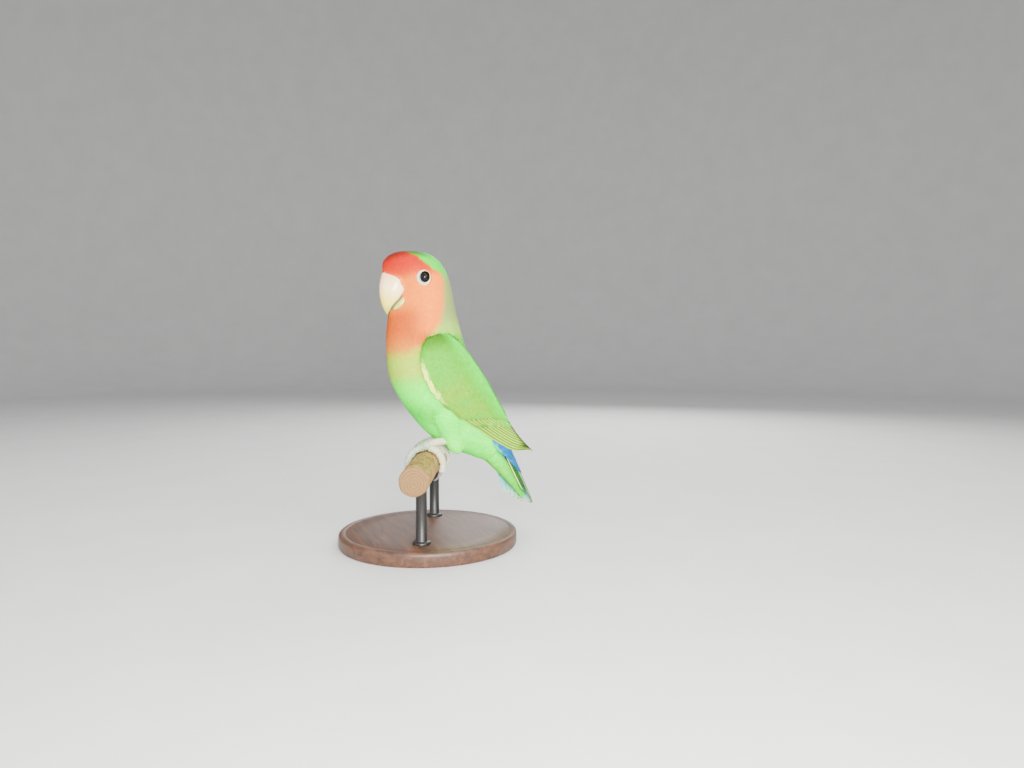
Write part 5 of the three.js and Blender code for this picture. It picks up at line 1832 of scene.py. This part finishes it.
def make_lids(name, side):
    """The bare ring round one eye, with beads near its opening."""
    centre, out, level, upright = eye_axes(side)
    columns = 120
    turn = turns(columns)
    a, b = OPENING_HALF[0] * np.cos(turn), OPENING_HALF[1] * np.sin(turn)
    lean = (math.cos(OPENING_LEAN), math.sin(OPENING_LEAN))
    inner = np.stack([a * lean[0] + b * lean[1], b * lean[0] - a * lean[1]], -1) + OPENING_SHIFT
    outer = np.stack([np.cos(turn), np.sin(turn)], -1) * RING_HALF + RING_SHIFT
    beads = 0.07 * np.abs(np.sin(turn * 15)) ** 0.6
    facing = -(np.cos(turn) * 0.75 + np.sin(turn) * 0.66)
    rings, tints = [], []
    for share, over_ball, height in LID_SECTION:
        spot = inner + (outer - inner) * share
        if height is None:
            height = np.sqrt(np.maximum(EYE_RADIUS ** 2 - np.sum(inner ** 2, -1), 0.2)) + over_ball
        bead = beads * math.exp(-((share - 0.3) / 0.14) ** 2)
        rings.append(centre + out * (height + bead)[:, None] + level * spot[:, :1] + upright * spot[:, 1:])
        shade = blend(LID_WHITE, LID_WARM, smooth(0.3, -0.6, facing) * 0.7)
        shade = blend(shade, LID_BLUE, smooth(-0.1, 0.8, facing) * smooth(0.8, 0.2, share))
        shade = blend(shade, LID_WARM, smooth(0.7, 0.95, share) * 0.7)
        tints.append(blend(shade, LID_MARGIN, smooth(0.14, 0.03, share) * 0.9))
    quads = grid_faces(len(rings) + 1, columns, True) % (len(rings) * columns)
    if side == RIGHT:
        quads = quads[:, ::-1]
    ring = make_object("lids_" + name, rings, quads)
    add_colours(ring, np.vstack(tints))
    finish_piece(ring, lid_finish)
    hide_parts("eye_ring_" + name)


for name, side in SIDES:
    make_eye(name, side)
    make_lids(name, side)

# Perch and stand
g = Graph("perch_wood")
grain = g.noise(420, 6, 0.62, vector=g.place((0.18, 1.6, 1.6), -PERCH_YAW), distortion=0.6)
patches = g.noise(60, 4, 0.6, vector=g.place((0.7, 1.2, 1.2), -PERCH_YAW))
specks = g.noise(520, 4, 0.75)
wood = g.ramp(grain, [(0.3, colour(130, 82, 38)), (0.5, colour(188, 138, 74)),
                      (0.72, colour(222, 176, 106))])
wood = g.mix(g.between(patches, 0.38, 0.58, end=0.85), wood, colour(122, 108, 46))
wood = g.mix(g.between(specks, 0.5, 0.6, end=0.8), wood, colour(70, 44, 20))
spot = g.node("ShaderNodeSeparateXYZ", {0: g.place(turn=-PERCH_YAW)}).outputs
raised = g.math("SUBTRACT", spot["Z"], (PERCH_HEIGHT - 1) * MM)
radial = g.math("SQRT", g.math("ADD", g.math("MULTIPLY", spot["Y"], spot["Y"]),
                               g.math("MULTIPLY", raised, raised)))
growth = g.math("SINE", g.math("ADD", g.math("MULTIPLY", radial, 4300.0),
                               g.math("MULTIPLY", patches, 16.0)))
end_wood = g.mix(g.between(growth, -1.0, 1.0), colour(116, 84, 44), colour(134, 100, 54))
end_wood = g.speckled(end_wood, specks, 0.6, colour(84, 60, 32))
from_middle = g.math("ABSOLUTE", g.math("SUBTRACT", spot["X"], (PERCH_NEAR - PERCH_FAR) / 2 * MM))
half_length = (PERCH_NEAR + PERCH_FAR) / 2
wood = g.mix(g.between(from_middle, (half_length - 0.8) * MM, (half_length - 0.2) * MM), wood, end_wood)
wood_normal = g.bump(grain, 0.5, 0.0003)
wood_normal = g.bump(specks, 0.4, 0.0002, wood_normal)
perch_finish = g.set(base=wood, rough=0.68, normal=wood_normal, level=0.3)


def worn(angle, height, radius):
    """Small flats and dents along the dowel."""
    if radius < PERCH_RADIUS - 1:
        return 0 * angle
    return (0.07 * np.sin(3 * angle + height * 0.05) + 0.05 * np.sin(7 * angle - height * 0.21)
            - 0.06 * np.exp(-((height - 24) / 3) ** 2) * np.cos(angle)) - 0.08


perch = turned("perch_dowel", round_perch(0, 0, -PERCH_FAR), perch_axis,
               rounded_bar(PERCH_RADIUS, PERCH_NEAR + PERCH_FAR, corner=0.8, steps=90), sides=72,
               rough=worn)
finish_piece(perch, perch_finish)
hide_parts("perch")

g = Graph("stand_wood")
stand_grain = g.noise(260, 6, 0.6, vector=g.place((0.15, 1.3, 1.3)), distortion=0.8)
pores = g.noise(1500, 2, 0.6, vector=g.place((0.08, 1, 1)))
dark = g.ramp(stand_grain, [(0.28, colour(44, 26, 17)), (0.5, colour(74, 46, 30)),
                            (0.75, colour(98, 64, 42))])
dark = g.mix(g.between(pores, 0.58, 0.7, end=0.6), dark, colour(30, 17, 11))
stand_normal = g.bump(pores, 0.3, 0.0001, g.bump(stand_grain, 0.15, 0.0002))
stand_finish = g.set(base=dark, rough=0.5, normal=stand_normal, coat=0.06, coat_rough=0.35)
base_profile = [
    (15, 0), (35, 0), *arc((48.6, 1), (1, 1), -90, 0, 5), (49.85, 1.6), (49.85, 5.6),
    *arc((48, 5.9), (1.85, 1.95), 0, 90, 8),
    (46.6, 7.85), (46.2, 7.62), (45.7, 7.62), (45.3, 7.85), (35, 7.9), (15, 7.9),
]
base = turned("stand_foot", (0, 0, 0), UP, base_profile, sides=160)
finish_piece(base, stand_finish)
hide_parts("stand_base")

g = Graph("stand_metal")
brushed = g.noise(700, 3, 0.6, vector=g.place((1, 1, 0.05)))
smudge = g.noise(120, 3, 0.5)
rod_base = g.ramp(brushed, [(0.3, colour(34, 33, 32)), (0.7, colour(56, 54, 52))])
rod_rough = g.between(smudge, 0, 1, 0.32, 0.5)
rod_finish = g.set(base=rod_base, rough=rod_rough, metal=0.6, normal=g.bump(brushed, 0.15, 0.00005))
ROD_FOOT = 7.6  # height of a rod's lower end, set into the stand's foot
ROD_OFF = 32.0  # of each rod from the bird's middle, along the dowel
rod_top = PERCH_HEIGHT - PERCH_RADIUS + 0.7 - ROD_FOOT
rod_profile = [
    (1, 0), (4.6, 0), (4.75, 0.25), (4.75, 1.2), (4.4, 1.6), (3.15, 1.75), (2.95, 2.0), (2.95, 14),
    (2.95, rod_top - 3.2), (3.05, rod_top - 3.0), (3.05, rod_top - 0.9), (2.6, rod_top), (1, rod_top),
]
for name, along in (("near", ROD_OFF), ("far", -ROD_OFF)):
    foot_at = round_perch(0, 0, along) * [1, 1, 0] + UP * ROD_FOOT
    rod = turned("stand_pin_" + name, foot_at, UP, rod_profile, sides=56)
    finish_piece(rod, rod_finish)
    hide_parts("stand_rod_" + name)

# Floor, light and camera
g = Graph("floor")
speck = g.noise(18, 4, 0.6)
floor_base = g.ramp(speck, [(0.3, colour(196, 195, 193)), (0.7, colour(202, 201, 199))])
floor_finish = g.set(base=floor_base, rough=0.85)
FLOOR_SIDES, FLOOR_CURVE = 96, 600
bowl = [(200, 0), (500, 0), (900, 0), (1400, 0),
        *arc((1400, FLOOR_CURVE), (FLOOR_CURVE, FLOOR_CURVE), math.degrees(0.1) - 90, 0, 14),
        (2000, 1500)]
angle = turns(FLOOR_SIDES)
rings = [np.stack([r * np.cos(angle), r * np.sin(angle), np.full(FLOOR_SIDES, h)], -1) for r, h in bowl]
points = np.vstack([np.zeros((1, 3)), *rings])
j = np.arange(FLOOR_SIDES)
centre_fan = np.stack([0 * j, 1 + (j + 1) % FLOOR_SIDES, 1 + j], -1)
tris = np.vstack([halves(grid_faces(len(rings), FLOOR_SIDES, True)) + 1, centre_fan])[:, ::-1]
floor = make_object("floor", points, tris)
floor.data.materials.append(floor_finish)

world = bpy.data.worlds.new("studio")
bpy.context.scene.world = world
world.use_nodes = True
background = world.node_tree.nodes["Background"].inputs
background["Color"].default_value = (0.92, 0.94, 1.0, 1)
background["Strength"].default_value = 0.56


def soft_light(name, place, aim, size, power, tint=(1, 1, 1)):
    lamp = bpy.data.lights.new(name, "AREA")
    lamp.shape = "DISK"
    lamp.size = size
    lamp.energy = power
    lamp.color = tint
    obj = bpy.data.objects.new(name, lamp)
    obj.location = place
    obj.rotation_euler = (Vector(aim) - Vector(place)).to_track_quat("-Z", "Y").to_euler()
    bpy.context.scene.collection.objects.link(obj)


bird = (0, 0.01, 0.1)
soft_light("front", (0.5, -0.12, 0.15), bird, size=0.11, power=8)
soft_light("key", (0.62, 0.12, 0.42), bird, size=0.8, power=9.4, tint=(1, 0.98, 0.95))
soft_light("fill", (0.35, -0.75, 0.3), bird, size=1.1, power=6.8, tint=(0.97, 0.98, 1))
soft_light("back", (-0.5, 0.45, 0.5), bird, size=0.7, power=8)
soft_light("top", (0, 0, 1.0), bird, size=0.9, power=6)

camera = bpy.data.cameras.new("camera")
camera.lens = 26.0
camera.sensor_width = 36
camera.clip_start = 0.01
camera.clip_end = 20
camera_object = bpy.data.objects.new("camera", camera)
camera_object.location = (0.39745, -0.12518, 0.1128)
forward = Vector((-0.9121, 0.4061, -0.0553))
camera_object.rotation_euler = forward.to_track_quat("-Z", "Y").to_euler()
bpy.context.scene.collection.objects.link(camera_object)
bpy.context.scene.camera = camera_object

bpy.context.view_layer.update()
